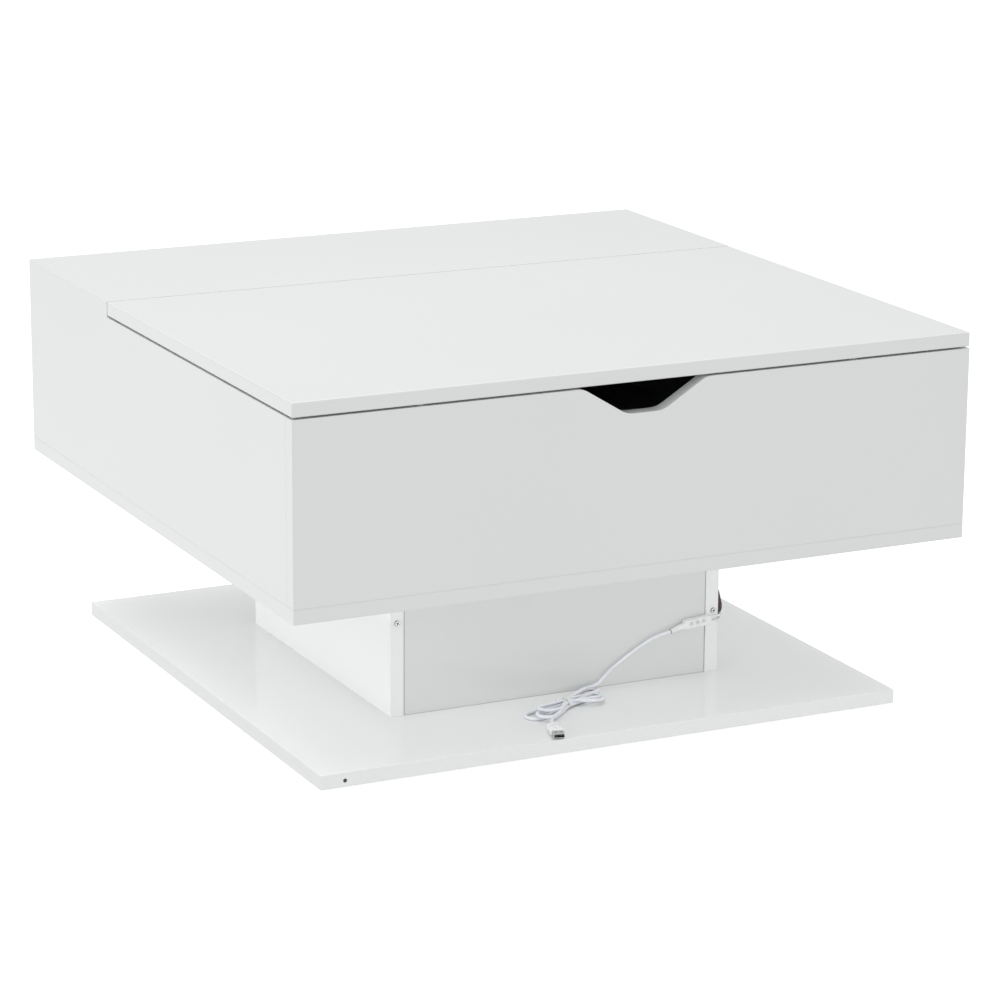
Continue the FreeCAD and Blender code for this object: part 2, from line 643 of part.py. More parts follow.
def strut_stud(place, x_root, x_bearing):
    """A stud from its plate or arm to the strut's eye, with a head that keeps the eye on."""
    x_tip = strut_x - EYE_WIDTH / 2 - 0.3
    shape = cylinder(STUD_DIAMETER, x_root - x_tip, (x_tip, place[0], place[1]), X_AXIS)
    collar = cylinder(STUD_DIAMETER + 3, x_bearing - (strut_x + EYE_WIDTH / 2 + 0.3),
                      (strut_x + EYE_WIDTH / 2 + 0.3, place[0], place[1]), X_AXIS)
    head = cylinder(STUD_DIAMETER + 3, 1.6, (x_tip, place[0], place[1]), X_AXIS * -1)
    return shape.multiFuse([collar, head]).removeSplitter()


def along_strut(shape, place):
    """Turn a piece that is modelled along +Z with its eye at the origin into the strut's line."""
    shape.rotate(Vec(0, 0, 0), X_AXIS, -math.degrees(math.atan2(strut_axis.y, strut_axis.z)))
    shape.translate(Vec(strut_x, place[0], place[1]))
    return shape


def strut_eye():
    ring = cylinder(EYE_DIAMETER, EYE_WIDTH, (-EYE_WIDTH / 2, 0, 0), X_AXIS)
    return ring, cylinder(STUD_DIAMETER + 2 * PIVOT_PLAY, EYE_WIDTH + 2, (-EYE_WIDTH / 2 - 1, 0, 0), X_AXIS)


tube_end = folded_length - EXPOSED_ROD
rod_length = folded_length - NECK - CYLINDER_WALL - ROD_END_MARGIN


def strut_cylinder():
    """The gas strut's tube: eye, closed end, bore and a guide for the rod."""
    ring, hole = strut_eye()
    outer = cylinder(CYLINDER_DIAMETER, tube_end - NECK, (0, 0, NECK), Z_AXIS)
    rims = [e for e in outer.Edges if e.BoundBox.ZLength < 0.01]
    outer = outer.makeFillet(1.5, rims)
    neck = cylinder(8.0, NECK, (0, 0, 0), Z_AXIS)
    bore_start = NECK + CYLINDER_WALL
    bore = cylinder(CYLINDER_DIAMETER - 2 * CYLINDER_WALL, tube_end - GUIDE_LENGTH - bore_start,
                    (0, 0, bore_start), Z_AXIS)
    guide = cylinder(ROD_DIAMETER + 2 * PIVOT_PLAY, GUIDE_LENGTH + 2,
                     (0, 0, tube_end - GUIDE_LENGTH - 1), Z_AXIS)
    shape = outer.multiFuse([neck, ring]).removeSplitter().cut(group([bore, guide, hole]))
    return along_strut(shape, strut_foot)


def strut_rod():
    """The rod with its eye at the arm end and its piston in the tube."""
    ring, hole = strut_eye()
    rod = cylinder(ROD_DIAMETER, rod_length, (0, 0, -rod_length), Z_AXIS)
    piston_width = CYLINDER_DIAMETER - 2 * CYLINDER_WALL - 2 * PISTON_PLAY
    piston = cylinder(piston_width, 5.0, (0, 0, -rod_length), Z_AXIS)
    shape = rod.multiFuse([ring, piston]).removeSplitter().cut(hole)
    return along_strut(shape, strut_head)


bracket_holes = [pan_hole((plate_x, y, z), X_AXIS, SMALL_LENGTH) for y, z in base_bracket_screws()]
lid_holes = [pan_hole((x, y, lid_z0 - FLANGE_THICKNESS), Z_AXIS, SMALL_LENGTH) for x, y in lid_screw_places()]
bracket_fixings = [pan_screw((plate_x, y, z), X_AXIS, SMALL_HEAD, SMALL_LENGTH)
                   for y, z in base_bracket_screws()]
lid_fixings = [pan_screw((x, y, lid_z0 - FLANGE_THICKNESS), Z_AXIS, SMALL_HEAD, SMALL_LENGTH)
               for x, y in lid_screw_places()]


def both(shapes):
    return list(shapes) + [mirrored(s) for s in shapes]


# ---------------------------------------------------------------- pedestal fittings
edge_screw_seats = [(-ped_side_mid, PEDESTAL_FRONT, base_top + EDGE_SCREW_LEFT_UP),
                    (ped_side_mid + 1.5, PEDESTAL_FRONT, base_top + EDGE_SCREW_RIGHT_UP)]


def edge_screw_holes():
    return [pan_hole(seat, Y_AXIS, EDGE_SCREW_LENGTH) for seat in edge_screw_seats]


def led_strip():
    """Four lengths of flat light strip stuck under the bottom board, round the pedestal."""
    near = LED_SETBACK
    far = LED_SETBACK + LED_WIDTH
    z0 = box_z0 - LED_THICKNESS
    y0 = PEDESTAL_FRONT - near + LED_JOINT
    y1 = PEDESTAL_BACK + near - LED_JOINT
    return group([
        box(-ped_x - far, ped_x + far, PEDESTAL_FRONT - far, PEDESTAL_FRONT - near, z0, box_z0),
        box(-ped_x - far, ped_x + far, PEDESTAL_BACK + near, PEDESTAL_BACK + far, z0, box_z0),
        box(-ped_x - far, -ped_x - near, y0, y1, z0, box_z0),
        box(ped_x + near, ped_x + far, y0, y1, z0, box_z0),
    ])


controller_x = ped_x - CONTROLLER_INSET
controller_z = base_top + CONTROLLER_UP
controller_y = PEDESTAL_FRONT - CONTROLLER_PAD       # the controller's back face
controller_front = controller_y - CONTROLLER_DEPTH
tilt = math.radians(CONTROLLER_TILT)


def on_controller(along, up):
    """A place on the tilted controller, from its middle."""
    x = controller_x + along * math.cos(tilt) - up * math.sin(tilt)
    return x, controller_z + along * math.sin(tilt) + up * math.cos(tilt)


cord_lead = from_corner(CORD_LEAD)
cord_tail = from_corner(CORD_TAIL)
button_places = [on_controller((i - 1) * BUTTON_PITCH - 1.5, 1.3) for i in range(3)]


def controller_body():
    """The controller's case with its button wells and the tapered exit for the cord."""
    half_l = CONTROLLER_LENGTH / 2
    half_h = CONTROLLER_HEIGHT / 2
    case = box(-half_l, half_l, controller_front, controller_y, -half_h, half_h)
    outer = [e for e in case.Edges if e.CenterOfMass.y < controller_y - 1]
    case = case.makeFillet(1.8, outer)
    case.rotate(Vec(0, 0, 0), Y_AXIS, -CONTROLLER_TILT)
    case.translate(Vec(controller_x, 0, controller_z))
    tip = Vec(*cord_lead[0])
    root_x, root_z = on_controller(-half_l + 2.0, -0.6)
    root = Vec(root_x, controller_y - CONTROLLER_DEPTH / 2, root_z)
    along = tip - root
    relief = Part.makeCone(CONTROLLER_HEIGHT * 0.42, CORD_DIAMETER * 0.72, along.Length, root, along)
    wells = [cylinder(BUTTON_DIAMETER + 2 * BUTTON_PLAY, BUTTON_SUNK + BUTTON_TRAVEL + BODY_GAP,
                      (x, controller_front, z), Y_AXIS) for x, z in button_places]
    return cut_all(case.fuse(relief).removeSplitter(), wells)


def controller_button(place):
    start = (place[0], controller_front - BUTTON_PROUD, place[1])
    cap = cylinder(BUTTON_DIAMETER, BUTTON_PROUD + BUTTON_SUNK, start, Y_AXIS)
    rim = [e for e in cap.Edges if abs(e.BoundBox.YMin - start[1]) < 0.01 and e.BoundBox.YLength < 0.01]
    return cap.makeFillet(0.35, rim)


receiver_y0 = PEDESTAL_FRONT + 0.8
receiver_top = base_top + RECEIVER_TOP
receiver_bottom = base_top + RECEIVER_BOTTOM


def receiver_profile(inset):
    """The teardrop outline in X and Z: thin at the top and fullest low down."""
    face = ped_x + 0.2
    proud = RECEIVER_PROUD - inset
    top = receiver_top - 6.5 * inset
    low = receiver_bottom + 3.0 * inset
    return [
        (face + inset * 0.6, top), (face + 1.0 + inset * 0.6, top), (face + proud, low + (top - low) * 0.42),
        (face + proud, low + (top - low) * 0.22), (face + proud * 0.55, low), (face + inset * 0.6, low),
    ]


def receiver_housing():
    case = prism([(x, receiver_y0, z) for x, z in receiver_profile(0)], Vec(0, RECEIVER_WIDTH, 0))
    window = prism([(x, receiver_y0 - 1, z) for x, z in receiver_profile(1.0)], Vec(0, 2.5, 0))
    return case.cut(window)


def receiver_lens():
    return prism([(x, receiver_y0 - 0.3, z) for x, z in receiver_profile(1.0)], Vec(0, 1.8, 0))


lead_start_x, lead_start_z = on_controller(CONTROLLER_LENGTH / 2, 0)
lead_y = controller_y - CONTROLLER_DEPTH / 2


def receiver_lead():
    entry_x = ped_x + 2.2
    entry_z = receiver_bottom + 1.4
    points = [
        (lead_start_x, lead_y, lead_start_z + 2.4), (entry_x, lead_y - 0.4, entry_z - 0.6),
        (entry_x, receiver_y0, entry_z),
    ]
    return tube(points, LEAD_DIAMETER * 0.8, "receiver_lead")


clip_x = ped_x + LEAD_DIAMETER / 2 + 0.8
lead_run_y = PEDESTAL_FRONT + 21.0
strip_lead_z = box_z0 - LED_THICKNESS / 2 - 0.1


def strip_lead():
    points = [
        (lead_start_x, lead_y + 0.8, lead_start_z - 2.2), (clip_x, lead_y + 0.8, lead_start_z - 1.6),
        (clip_x, lead_run_y, lead_start_z - 0.4), (clip_x, lead_run_y, strip_lead_z),
        (ped_x + LED_SETBACK, lead_run_y, strip_lead_z),
    ]
    return tube(points, LEAD_DIAMETER, "strip_lead")


def lead_clips():
    """Small saddles that hold the strip's lead on the pedestal."""
    clips = []
    for z in (base_top + 0.55 * PEDESTAL_HEIGHT, base_top + 0.8 * PEDESTAL_HEIGHT):
        block = box(ped_x, clip_x + LEAD_DIAMETER / 2 + 1.0, lead_run_y - 4, lead_run_y + 4, z - 3, z + 3)
        bore = cylinder(LEAD_DIAMETER + 0.2, 10.0, (clip_x, lead_run_y, z - 5), Z_AXIS)
        clips.append(block.cut(bore))
    return group(clips)


# ---------------------------------------------------------------- USB cord, its hank and plug
def in_hank(shape):
    shape.rotate(Vec(0, 0, 0), Z_AXIS, HANK_ANGLE)
    shape.translate(Vec(ped_x + HANK_CENTRE[0], PEDESTAL_FRONT + HANK_CENTRE[1], 0))
    return shape


hank_z0 = base_top + HANK_LIFT


def cord_hank():
    return in_hank(prism([(a, b, hank_z0) for a, b in HANK_OUTLINE], Vec(0, 0, HANK_HEIGHT)))


def cord_tie():
    """A thin band round the hank's waist."""
    half = TIE_WIDTH / 2
    wide = TIE_WAIST + HOLE_PLAY
    outer = box(-half, half, -wide - TIE_THICKNESS, wide + TIE_THICKNESS,
                hank_z0 - HOLE_PLAY - TIE_THICKNESS, hank_z0 + HANK_HEIGHT + HOLE_PLAY + TIE_THICKNESS)
    inner = box(-half - 1, half + 1, -wide, wide, hank_z0 - HOLE_PLAY, hank_z0 + HANK_HEIGHT + HOLE_PLAY)
    return in_hank(outer.cut(inner))


def in_plug(shape):
    shape.rotate(Vec(0, 0, 0), Z_AXIS, PLUG_HEADING)
    shape.translate(Vec(*cord_tail[-1]))
    return shape


plug_body_end = PLUG_RELIEF + PLUG_BODY[0]


def plug_body():
    length, width, height = PLUG_BODY
    case = box(PLUG_RELIEF, plug_body_end, -width / 2, width / 2, -height / 2, height / 2)
    case = case.makeFillet(1.8, [e for e in case.Edges if e.CenterOfMass.x < plug_body_end - 1])
    relief = Part.makeCone(CORD_DIAMETER * 0.62, height * 0.42, PLUG_RELIEF + 1, Vec(0, 0, 0), X_AXIS)
    return in_plug(case.fuse(relief).removeSplitter())


def plug_shell():
    length, width, height = PLUG_SHELL
    x0 = plug_body_end
    skin = box(x0, x0 + length, -width / 2, width / 2, -height / 2, height / 2)
    mouth = box(x0, x0 + length + 1, -width / 2 + PLUG_WALL, width / 2 - PLUG_WALL,
                -height / 2 + PLUG_WALL, height / 2 - PLUG_WALL)
    windows = [box(x0 + 4.0, x0 + 6.4, y - 1.2, y + 1.2, -height, height) for y in (-2.9, 2.9)]
    return in_plug(skin.cut(group([mouth] + windows)))


def plug_tongue():
    length, width, height = PLUG_TONGUE
    z1 = PLUG_SHELL[2] / 2 - PLUG_WALL - HOLE_PLAY
    return in_plug(box(plug_body_end, plug_body_end + length, -width / 2, width / 2, z1 - height, z1))


# ---------------------------------------------------------------- all nodes
nodes = {
    "base_board": base_board(),
    "base_glides": glides(),
    "base_edge_screw": base_edge_screw(),
    "pedestal_left_panel": pedestal_side(-1, edge_screw_holes()),
    "pedestal_right_panel": pedestal_side(1, edge_screw_holes()),
    "pedestal_front_panel": pedestal_end(ped_front_mid),
    "pedestal_back_panel": pedestal_end(ped_back_mid),
    "pedestal_edge_screws": group([pan_screw(seat, Y_AXIS, EDGE_SCREW_HEAD, EDGE_SCREW_LENGTH)
                                   for seat in edge_screw_seats]),
    "bottom_board": bottom_board(),
    "left_side_panel": side_panel(-1, [mirrored(h) for h in bracket_holes]),
    "right_side_panel": side_panel(1, bracket_holes),
    "front_panel": front_panel(),
    "back_panel": back_panel(),
    "rear_top_panel": rear_top_panel(),
    "rear_rail": rear_rail(),
    "wood_dowels": group([dowel(*d) for d in dowels]),
    "carcass_screws": group([screw(*s) for s in screws]),
    "cam_locks": group([cam_lock(*c) for c in cam_places]),
    "cam_bolts": group([cam_bolt(*c) for c in cam_places]),
    "lid_bumpers": lid_bumpers(),
    "lid_panel": lid_panel(both(lid_holes)),
    "lid_bracket_screws": group(both(lid_fixings)),
    "lid_pivot_rivets": group(both(lid_rivets())),
    "base_bracket_screws": group(both(bracket_fixings)),
    "base_pivot_rivets": group(both(base_rivets())),
    "strut_base_studs": group(both([strut_stud(strut_foot, inner_x, plate_x)])),
    "led_strip": led_strip(),
    "strip_lead": strip_lead(),
    "lead_clips": lead_clips(),
    "controller_body": controller_body(),
    "receiver_housing": receiver_housing(),
    "receiver_lens": receiver_lens(),
    "receiver_lead": receiver_lead(),
    "usb_cord_lead": tube(cord_lead, CORD_DIAMETER, "usb_cord_lead"),
    "usb_cord_tail": tube(cord_tail, CORD_DIAMETER, "usb_cord_tail"),
    "usb_cord_hank": cord_hank(),
    "usb_cord_tie": cord_tie(),
    "usb_plug_body": plug_body(),
    "usb_plug_shell": plug_shell(),
    "usb_plug_tongue": plug_tongue(),
}
for button_name, button_place in zip(("power_button", "colour_button", "mode_button"), button_places):
    nodes[button_name] = controller_button(button_place)

right_side = {
    "base_bracket": base_bracket(),
    "lid_bracket": lid_bracket(),
    "front_arm": arm(base_pivots[0], lid_pivots[0], strut_head),
    "rear_arm": arm(base_pivots[1], lid_pivots[1]),
    "arm_stud": strut_stud(strut_head, arm_x + ARM_THICKNESS, arm_x),
    "strut_cylinder": strut_cylinder(),
    "strut_rod": strut_rod(),
}
for name, shape in right_side.items():
    nodes["right_" + name] = shape
    nodes["left_" + name] = mirrored(shape)

print("pivots", [[round(v, 3) for v in p] for p in base_pivots + lid_pivots])
print("strut foot and head", [round(v, 3) for v in strut_foot + strut_head])
extended_length = 2 * strut_radius * math.sin(math.radians((STRUT_ANGLE + ARM_TRAVEL) / 2))
print("strut folded", round(folded_length, 2), "extended", round(extended_length, 2))
print("buttons", [[round(v, 3) for v in p] for p in button_places])

os.makedirs("parts", exist_ok=True)
for name, shape in nodes.items():
    shape.exportStep("parts/" + name + ".step")
print(len(nodes), "nodes")
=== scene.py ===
import math

import bmesh
import bpy
from mathutils import Matrix, Vector


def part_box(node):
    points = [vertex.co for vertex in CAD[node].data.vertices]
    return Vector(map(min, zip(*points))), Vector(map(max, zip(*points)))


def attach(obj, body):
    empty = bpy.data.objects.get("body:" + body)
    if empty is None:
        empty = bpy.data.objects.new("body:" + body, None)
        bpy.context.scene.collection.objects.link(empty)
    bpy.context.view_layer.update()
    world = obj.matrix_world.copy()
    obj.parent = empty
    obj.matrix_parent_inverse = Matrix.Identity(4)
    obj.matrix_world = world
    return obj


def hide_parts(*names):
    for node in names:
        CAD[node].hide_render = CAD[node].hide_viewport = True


# The look of the lift top coffee table. Metres, in the part's own frame.

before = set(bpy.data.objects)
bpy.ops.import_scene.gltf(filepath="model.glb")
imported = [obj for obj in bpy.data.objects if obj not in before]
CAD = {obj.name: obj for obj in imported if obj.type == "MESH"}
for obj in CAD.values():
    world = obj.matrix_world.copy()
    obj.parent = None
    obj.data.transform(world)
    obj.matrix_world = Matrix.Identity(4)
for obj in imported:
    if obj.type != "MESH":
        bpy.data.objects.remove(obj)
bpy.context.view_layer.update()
MM = 0.001


# ================================================================ camera
CAMERA_PLACE = Vector((-1.77739, -3.69026, 1.29073))
CAMERA_FORWARD = Vector((0.42432, 0.86765, -0.25911))
CAMERA_UP = Vector((0.10779, 0.23572, 0.96583))
CAMERA_LENS = 132.4

camera = bpy.data.objects.new("camera", bpy.data.cameras.new("camera"))
camera.data.lens = CAMERA_LENS
camera.data.sensor_width = 36.0
camera.data.clip_end = 60.0
back = -CAMERA_FORWARD.normalized()
right = CAMERA_UP.cross(back).normalized()
turn = Matrix((right, back.cross(right), back)).transposed()
camera.matrix_world = Matrix.Translation(CAMERA_PLACE) @ turn.to_4x4()
bpy.context.scene.collection.objects.link(camera)
bpy.context.scene.camera = camera


# ================================================================ material helpers
class Shader:
    """A material's node tree with short ways to add and join nodes."""

    def __init__(self, name, colour, roughness, metallic=0.0):
        self.material = bpy.data.materials.new(name)
        self.material.use_nodes = True
        self.tree = self.material.node_tree
        self.bsdf = self.tree.nodes["Principled BSDF"]
        self.bsdf.inputs["Base Color"].default_value = (*colour, 1.0)
        self.bsdf.inputs["Roughness"].default_value = roughness
        self.bsdf.inputs["Metallic"].default_value = metallic
        self.material.diffuse_color = (*colour, 1.0)
        self.places = self.tree.nodes.new("ShaderNodeTexCoord")
        self.bumps = None

    def put(self, socket, value):
        if isinstance(value, bpy.types.NodeSocket):
            self.tree.links.new(value, socket)
        else:
            socket.default_value = value

    def math(self, operation, a, b=0.0, c=0.0):
        node = self.tree.nodes.new("ShaderNodeMath")
        node.operation = operation
        for socket, value in zip(node.inputs, (a, b, c)):
            self.put(socket, value)
        return node.outputs[0]

    def vector(self, operation, a, b=(0.0, 0.0, 0.0)):
        node = self.tree.nodes.new("ShaderNodeVectorMath")
        node.operation = operation
        self.put(node.inputs[0], a)
        self.put(node.inputs[1], b)
        return node.outputs["Value"] if operation == "DOT_PRODUCT" else node.outputs[0]

    def noise(self, scale, detail=2.0, roughness=0.5, stretch=None):
        node = self.tree.nodes.new("ShaderNodeTexNoise")
        node.inputs["Scale"].default_value = scale
        node.inputs["Detail"].default_value = detail
        node.inputs["Roughness"].default_value = roughness
        place = self.places.outputs["Object"]
        if stretch:
            place = self.vector("MULTIPLY", place, stretch)
        self.put(node.inputs["Vector"], place)
        return node.outputs["Fac"]

    def ramp(self, value, low, high, at=(0.3, 0.7)):
        """value between two numbers, for a socket that takes a number."""
        node = self.tree.nodes.new("ShaderNodeMapRange")
        self.put(node.inputs["Value"], value)
        for name, number in zip(("From Min", "From Max", "To Min", "To Max"), (*at, low, high)):
            node.inputs[name].default_value = number
        return node.outputs[0]

    def mix(self, share, a, b):
        """Colour a where share is 0 and b where it is 1."""
        node = self.tree.nodes.new("ShaderNodeMix")
        node.data_type = "RGBA"
        for socket, value in zip((node.inputs[0], node.inputs[6], node.inputs[7]), (share, a, b)):
            self.put(socket, (*value, 1.0) if isinstance(value, tuple) else value)
        return node.outputs[2]

    def blend(self, share, a, b):
        """Number a where share is 0 and b where it is 1."""
        node = self.tree.nodes.new("ShaderNodeMix")
        for socket, value in zip((node.inputs[0], node.inputs[2], node.inputs[3]), (share, a, b)):
            self.put(socket, value)
        return node.outputs[0]

    def mottle(self, scale, detail, a, b):
        """A colour that wanders between a and b."""
        return self.mix(self.ramp(self.noise(scale, detail), 0.0, 1.0), a, b)

    def bump(self, height, strength, distance):
        node = self.tree.nodes.new("ShaderNodeBump")
        self.put(node.inputs["Strength"], strength)
        node.inputs["Distance"].default_value = distance
        self.put(node.inputs["Height"], height)
        if self.bumps:
            self.put(node.inputs["Normal"], self.bumps)
        self.bumps = node.outputs[0]
        self.put(self.bsdf.inputs["Normal"], self.bumps)

    def set(self, **sockets):
        for name, value in sockets.items():
            self.put(self.bsdf.inputs[name.replace("_", " ")], value)
        return self

    def axis(self, index):
        node = self.tree.nodes.new("ShaderNodeSeparateXYZ")
        self.put(node.inputs[0], self.places.outputs["Object"])
        return node.outputs[index]


# ================================================================ finishes
WHITE = (0.865, 0.875, 0.868)
GLOSS_TINTS = ((0.858, 0.868, 0.862), (0.872, 0.880, 0.873))
MELAMINE_TINTS = ((0.765, 0.77, 0.76), (0.80, 0.805, 0.795))
BAND_COLOUR = (0.60, 0.60, 0.585)
BAND_SHARE = 0.15           # how much of its colour the band's line shows
BAND_LINE = 1.05 * MM       # the glued edge band's line, from the board's edge
BAND_LINE_HALF = 0.13 * MM
# Painted shade: a fitted panel's colour darkens at its edges, where the gaps to its neighbours shade it.
JOINT_SHADOW_COLOUR = (0.16, 0.16, 0.15)
JOINT_SHADOW_STRENGTH = 0.85          # how much of the painted shadow's colour shows at the panel's edge
JOINT_SHADE = 0.6 * MM      # width of the painted shadow line where a fitted panel meets its neighbours
FITTED = ("pedestal_front_panel",)
PEEL = 0.06                 # strength of the lacquer's ripple
FACING = 0.7                # a face looks a way when its normal's share of that way is over this
MOULDED_SPREAD = 0.05       # how far a moulding's roughness wanders each way


def board(name, inner=()):
    """High gloss white board. inner lists the ways that its satin melamine faces look, into the box."""
    s = Shader("gloss_" + name, WHITE, 0.07)
    low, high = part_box(name)
    depth = s.vector("SUBTRACT", s.places.outputs["Object"], tuple((low + high) / 2))
    depth = s.vector("SUBTRACT", tuple((high - low) / 2), s.vector("ABSOLUTE", depth))
    parts = s.tree.nodes.new("ShaderNodeSeparateXYZ")
    s.put(parts.inputs[0], depth)
    x, y, z = parts.outputs
    to_edge = s.math("MAXIMUM", s.math("MINIMUM", x, y), s.math("MINIMUM", s.math("MAXIMUM", x, y), z))
    band = s.math("COMPARE", to_edge, BAND_LINE, BAND_LINE_HALF)
    colour = s.mottle(2.6, 3.0, *GLOSS_TINTS)
    colour = s.mix(s.math("MULTIPLY", band, BAND_SHARE), colour, BAND_COLOUR)
    # Painted shadow along the panel's edges, where it meets its neighbours.
    if name in FITTED:
        joint_shadow = s.ramp(to_edge, JOINT_SHADOW_STRENGTH, 0.0, (0.2 * JOINT_SHADE, JOINT_SHADE))
        colour = s.mix(joint_shadow, colour, JOINT_SHADOW_COLOUR)
    roughness = s.ramp(s.noise(7.0, 5.0, 0.62, (1.0, 0.35, 1.0)), 0.045, 0.105)
    peel = PEEL
    inside = 0.0
    for direction in inner:
        facing = s.vector("DOT_PRODUCT", s.places.outputs["Normal"], direction)
        inside = s.math("MAXIMUM", s.math("GREATER_THAN", facing, FACING), inside)
    if inner:
        colour = s.mix(inside, colour, s.mottle(900.0, 4.0, *MELAMINE_TINTS))
        roughness = s.blend(inside, roughness, 0.42)
        peel = s.math("MULTIPLY", s.math("SUBTRACT", 1.0, inside), peel)
    s.set(Base_Color=colour, Roughness=roughness, IOR=1.52)
    s.bump(s.noise(95.0, 1.5), peel, 0.4 * MM)
    if inner:
        s.bump(s.noise(2300.0, 3.0), s.math("MULTIPLY", inside, 0.22), 0.12 * MM)
    s.bump(s.math("SUBTRACT", 1.0, band), 0.25, 0.1 * MM)
    return s.material


def moulded(name, colour, roughness, grain=1500.0, depth=0.12, soft=0.0):
    """Moulded plastic or rubber with a fine spark-eroded grain and uneven gloss."""
    s = Shader(name, colour, roughness)
    paler = tuple(min(1.0, c * 1.04) for c in colour)
    darker = tuple(c * 0.95 for c in colour)
    s.set(Base_Color=s.mottle(60.0, 3.0, darker, paler))
    s.set(Roughness=s.ramp(s.noise(140.0, 4.0), roughness - MOULDED_SPREAD, roughness + MOULDED_SPREAD))
    s.set(Subsurface_Weight=soft, Subsurface_Scale=0.002)
    s.bump(s.noise(grain, 3.0), depth, 0.08 * MM)
    return s


def powder_coat():
    s = Shader("powder_coat", (0.27, 0.28, 0.29), 0.46)
    s.set(Base_Color=s.mottle(700.0, 3.0, (0.245, 0.252, 0.262), (0.30, 0.308, 0.318)))
    s.set(Roughness=s.ramp(s.noise(220.0, 3.0), 0.40, 0.52))
    s.bump(s.noise(1100.0, 2.5), 0.35, 0.15 * MM)
    return s.material


def painted_tube():
    s = Shader("strut_paint", (0.028, 0.028, 0.032), 0.3)
    s.set(Base_Color=s.mottle(45.0, 3.0, (0.024, 0.024, 0.027), (0.036, 0.036, 0.041)))
    s.set(Roughness=s.ramp(s.noise(160.0, 5.0), 0.22, 0.38))
    s.set(Coat_Weight=0.25, Coat_Roughness=0.2)
    s.bump(s.noise(420.0, 2.0), 0.15, 0.1 * MM)
    return s.material


def plated(name, colour, roughness, grain=(1.0, 1.0, 1.0), spread=0.08, dull=0.12):
    """Bare or plated metal, with faint drawing marks and dulled patches."""
    s = Shader(name, colour, roughness, metallic=1.0)
    dulled = tuple(c * (1.0 - dull) for c in colour)
    s.set(Base_Color=s.mottle(130.0, 4.0, colour, dulled))
    s.set(Roughness=s.ramp(s.noise(260.0, 4.0, 0.6, grain), roughness - spread, roughness + spread))
    s.bump(s.noise(900.0, 3.0, 0.5, grain), 0.18, 0.05 * MM)
    return s.material


def beech():
    s = Shader("beech", (0.62, 0.43, 0.25), 0.55)
    rings = s.tree.nodes.new("ShaderNodeTexWave")
    rings.inputs["Scale"].default_value = 260.0
    rings.inputs["Distortion"].default_value = 3.0
    s.put(rings.inputs["Vector"], s.places.outputs["Object"])
    grain = s.ramp(rings.outputs["Fac"], 0.0, 1.0, (0.0, 1.0))
    s.set(Base_Color=s.mix(grain, (0.50, 0.33, 0.18), (0.68, 0.49, 0.30)))
    s.set(Roughness=s.ramp(s.noise(500.0, 3.0), 0.48, 0.62))
    s.bump(s.noise(1600.0, 3.0), 0.4, 0.1 * MM)
    return s.material


def clear_rubber():
    s = Shader("clear_rubber", (0.82, 0.83, 0.84), 0.28)
    s.set(Base_Color=s.mottle(300.0, 2.0, (0.78, 0.79, 0.80), (0.86, 0.87, 0.88)))
    s.set(Roughness=s.ramp(s.noise(420.0, 3.0), 0.20, 0.36))
    s.set(Transmission_Weight=0.55, IOR=1.46)
    s.bump(s.noise(900.0), 0.12, 0.05 * MM)
    return s.material


def cord_skin():
    """Soft white PVC with faint extrusion waves."""
    s = Shader("cord_pvc", (0.80, 0.81, 0.85), 0.36)
    s.set(Base_Color=s.mottle(75.0, 2.0, (0.775, 0.785, 0.835), (0.84, 0.85, 0.885)))
    s.set(Roughness=s.ramp(s.noise(210.0, 3.0), 0.29, 0.43))
    s.set(Subsurface_Weight=0.12, Subsurface_Scale=0.0015)
    s.bump(s.noise(650.0, 2.0), 0.12, 0.12 * MM)
    return s.material


def floor_finish():
    s = Shader("studio_floor", (0.93, 0.93, 0.93), 0.85)
    s.set(Base_Color=s.mottle(1.2, 2.0, (0.925, 0.925, 0.925), (0.94, 0.94, 0.94)))
    s.set(Roughness=s.ramp(s.noise(3.0, 2.0), 0.8, 0.9))
    s.set(Specular_IOR_Level=0.2)
    s.set(Emission_Color=(1.0, 1.0, 1.0, 1.0), Emission_Strength=0.5)
    return s.material


SEAM_BACK = 0.4 * MM        # the case's seam, behind the middle of its depth
SEAM_HALF = 0.10 * MM


def controller_finish():
    """Satin white case with the hairline where its two halves meet."""
    s = moulded("controller_case", (0.85, 0.86, 0.85), 0.26, grain=2200.0, depth=0.08, soft=0.05)
    low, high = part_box("controller_body")
    seam = s.math("COMPARE", s.axis(1), (low.y + high.y) / 2 + SEAM_BACK, SEAM_HALF)
    s.bump(s.math("SUBTRACT", 1.0, seam), 0.9, 0.25 * MM)
    return s.material


SHADE_FROM, SHADE_TO = 0.10 * MM, 0.75 * MM       # depths in a screw's head over which painted shade darkens its colour


def recessed_screw(name):
    """Zinc plate, with painted shade in the cross and round the head's rim."""
    s = Shader("screw_" + name, (0.70, 0.71, 0.73), 0.26, metallic=1.0)
    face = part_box(name)[0].y
    recess_shade = s.ramp(s.axis(1), 0.0, 1.0, (face + SHADE_FROM, face + SHADE_TO))
    plate = s.mottle(500.0, 3.0, (0.66, 0.67, 0.69), (0.78, 0.79, 0.81))
    # Painted shade: the cross and the rim turn near black with depth behind the head's face.
    s.set(Base_Color=s.mix(recess_shade, plate, (0.045, 0.045, 0.05)))
    s.set(Roughness=s.blend(recess_shade, s.ramp(s.noise(800.0, 3.0), 0.20, 0.34), 0.6))
    s.bump(s.noise(1500.0, 3.0), 0.2, 0.05 * MM)
    return s.material


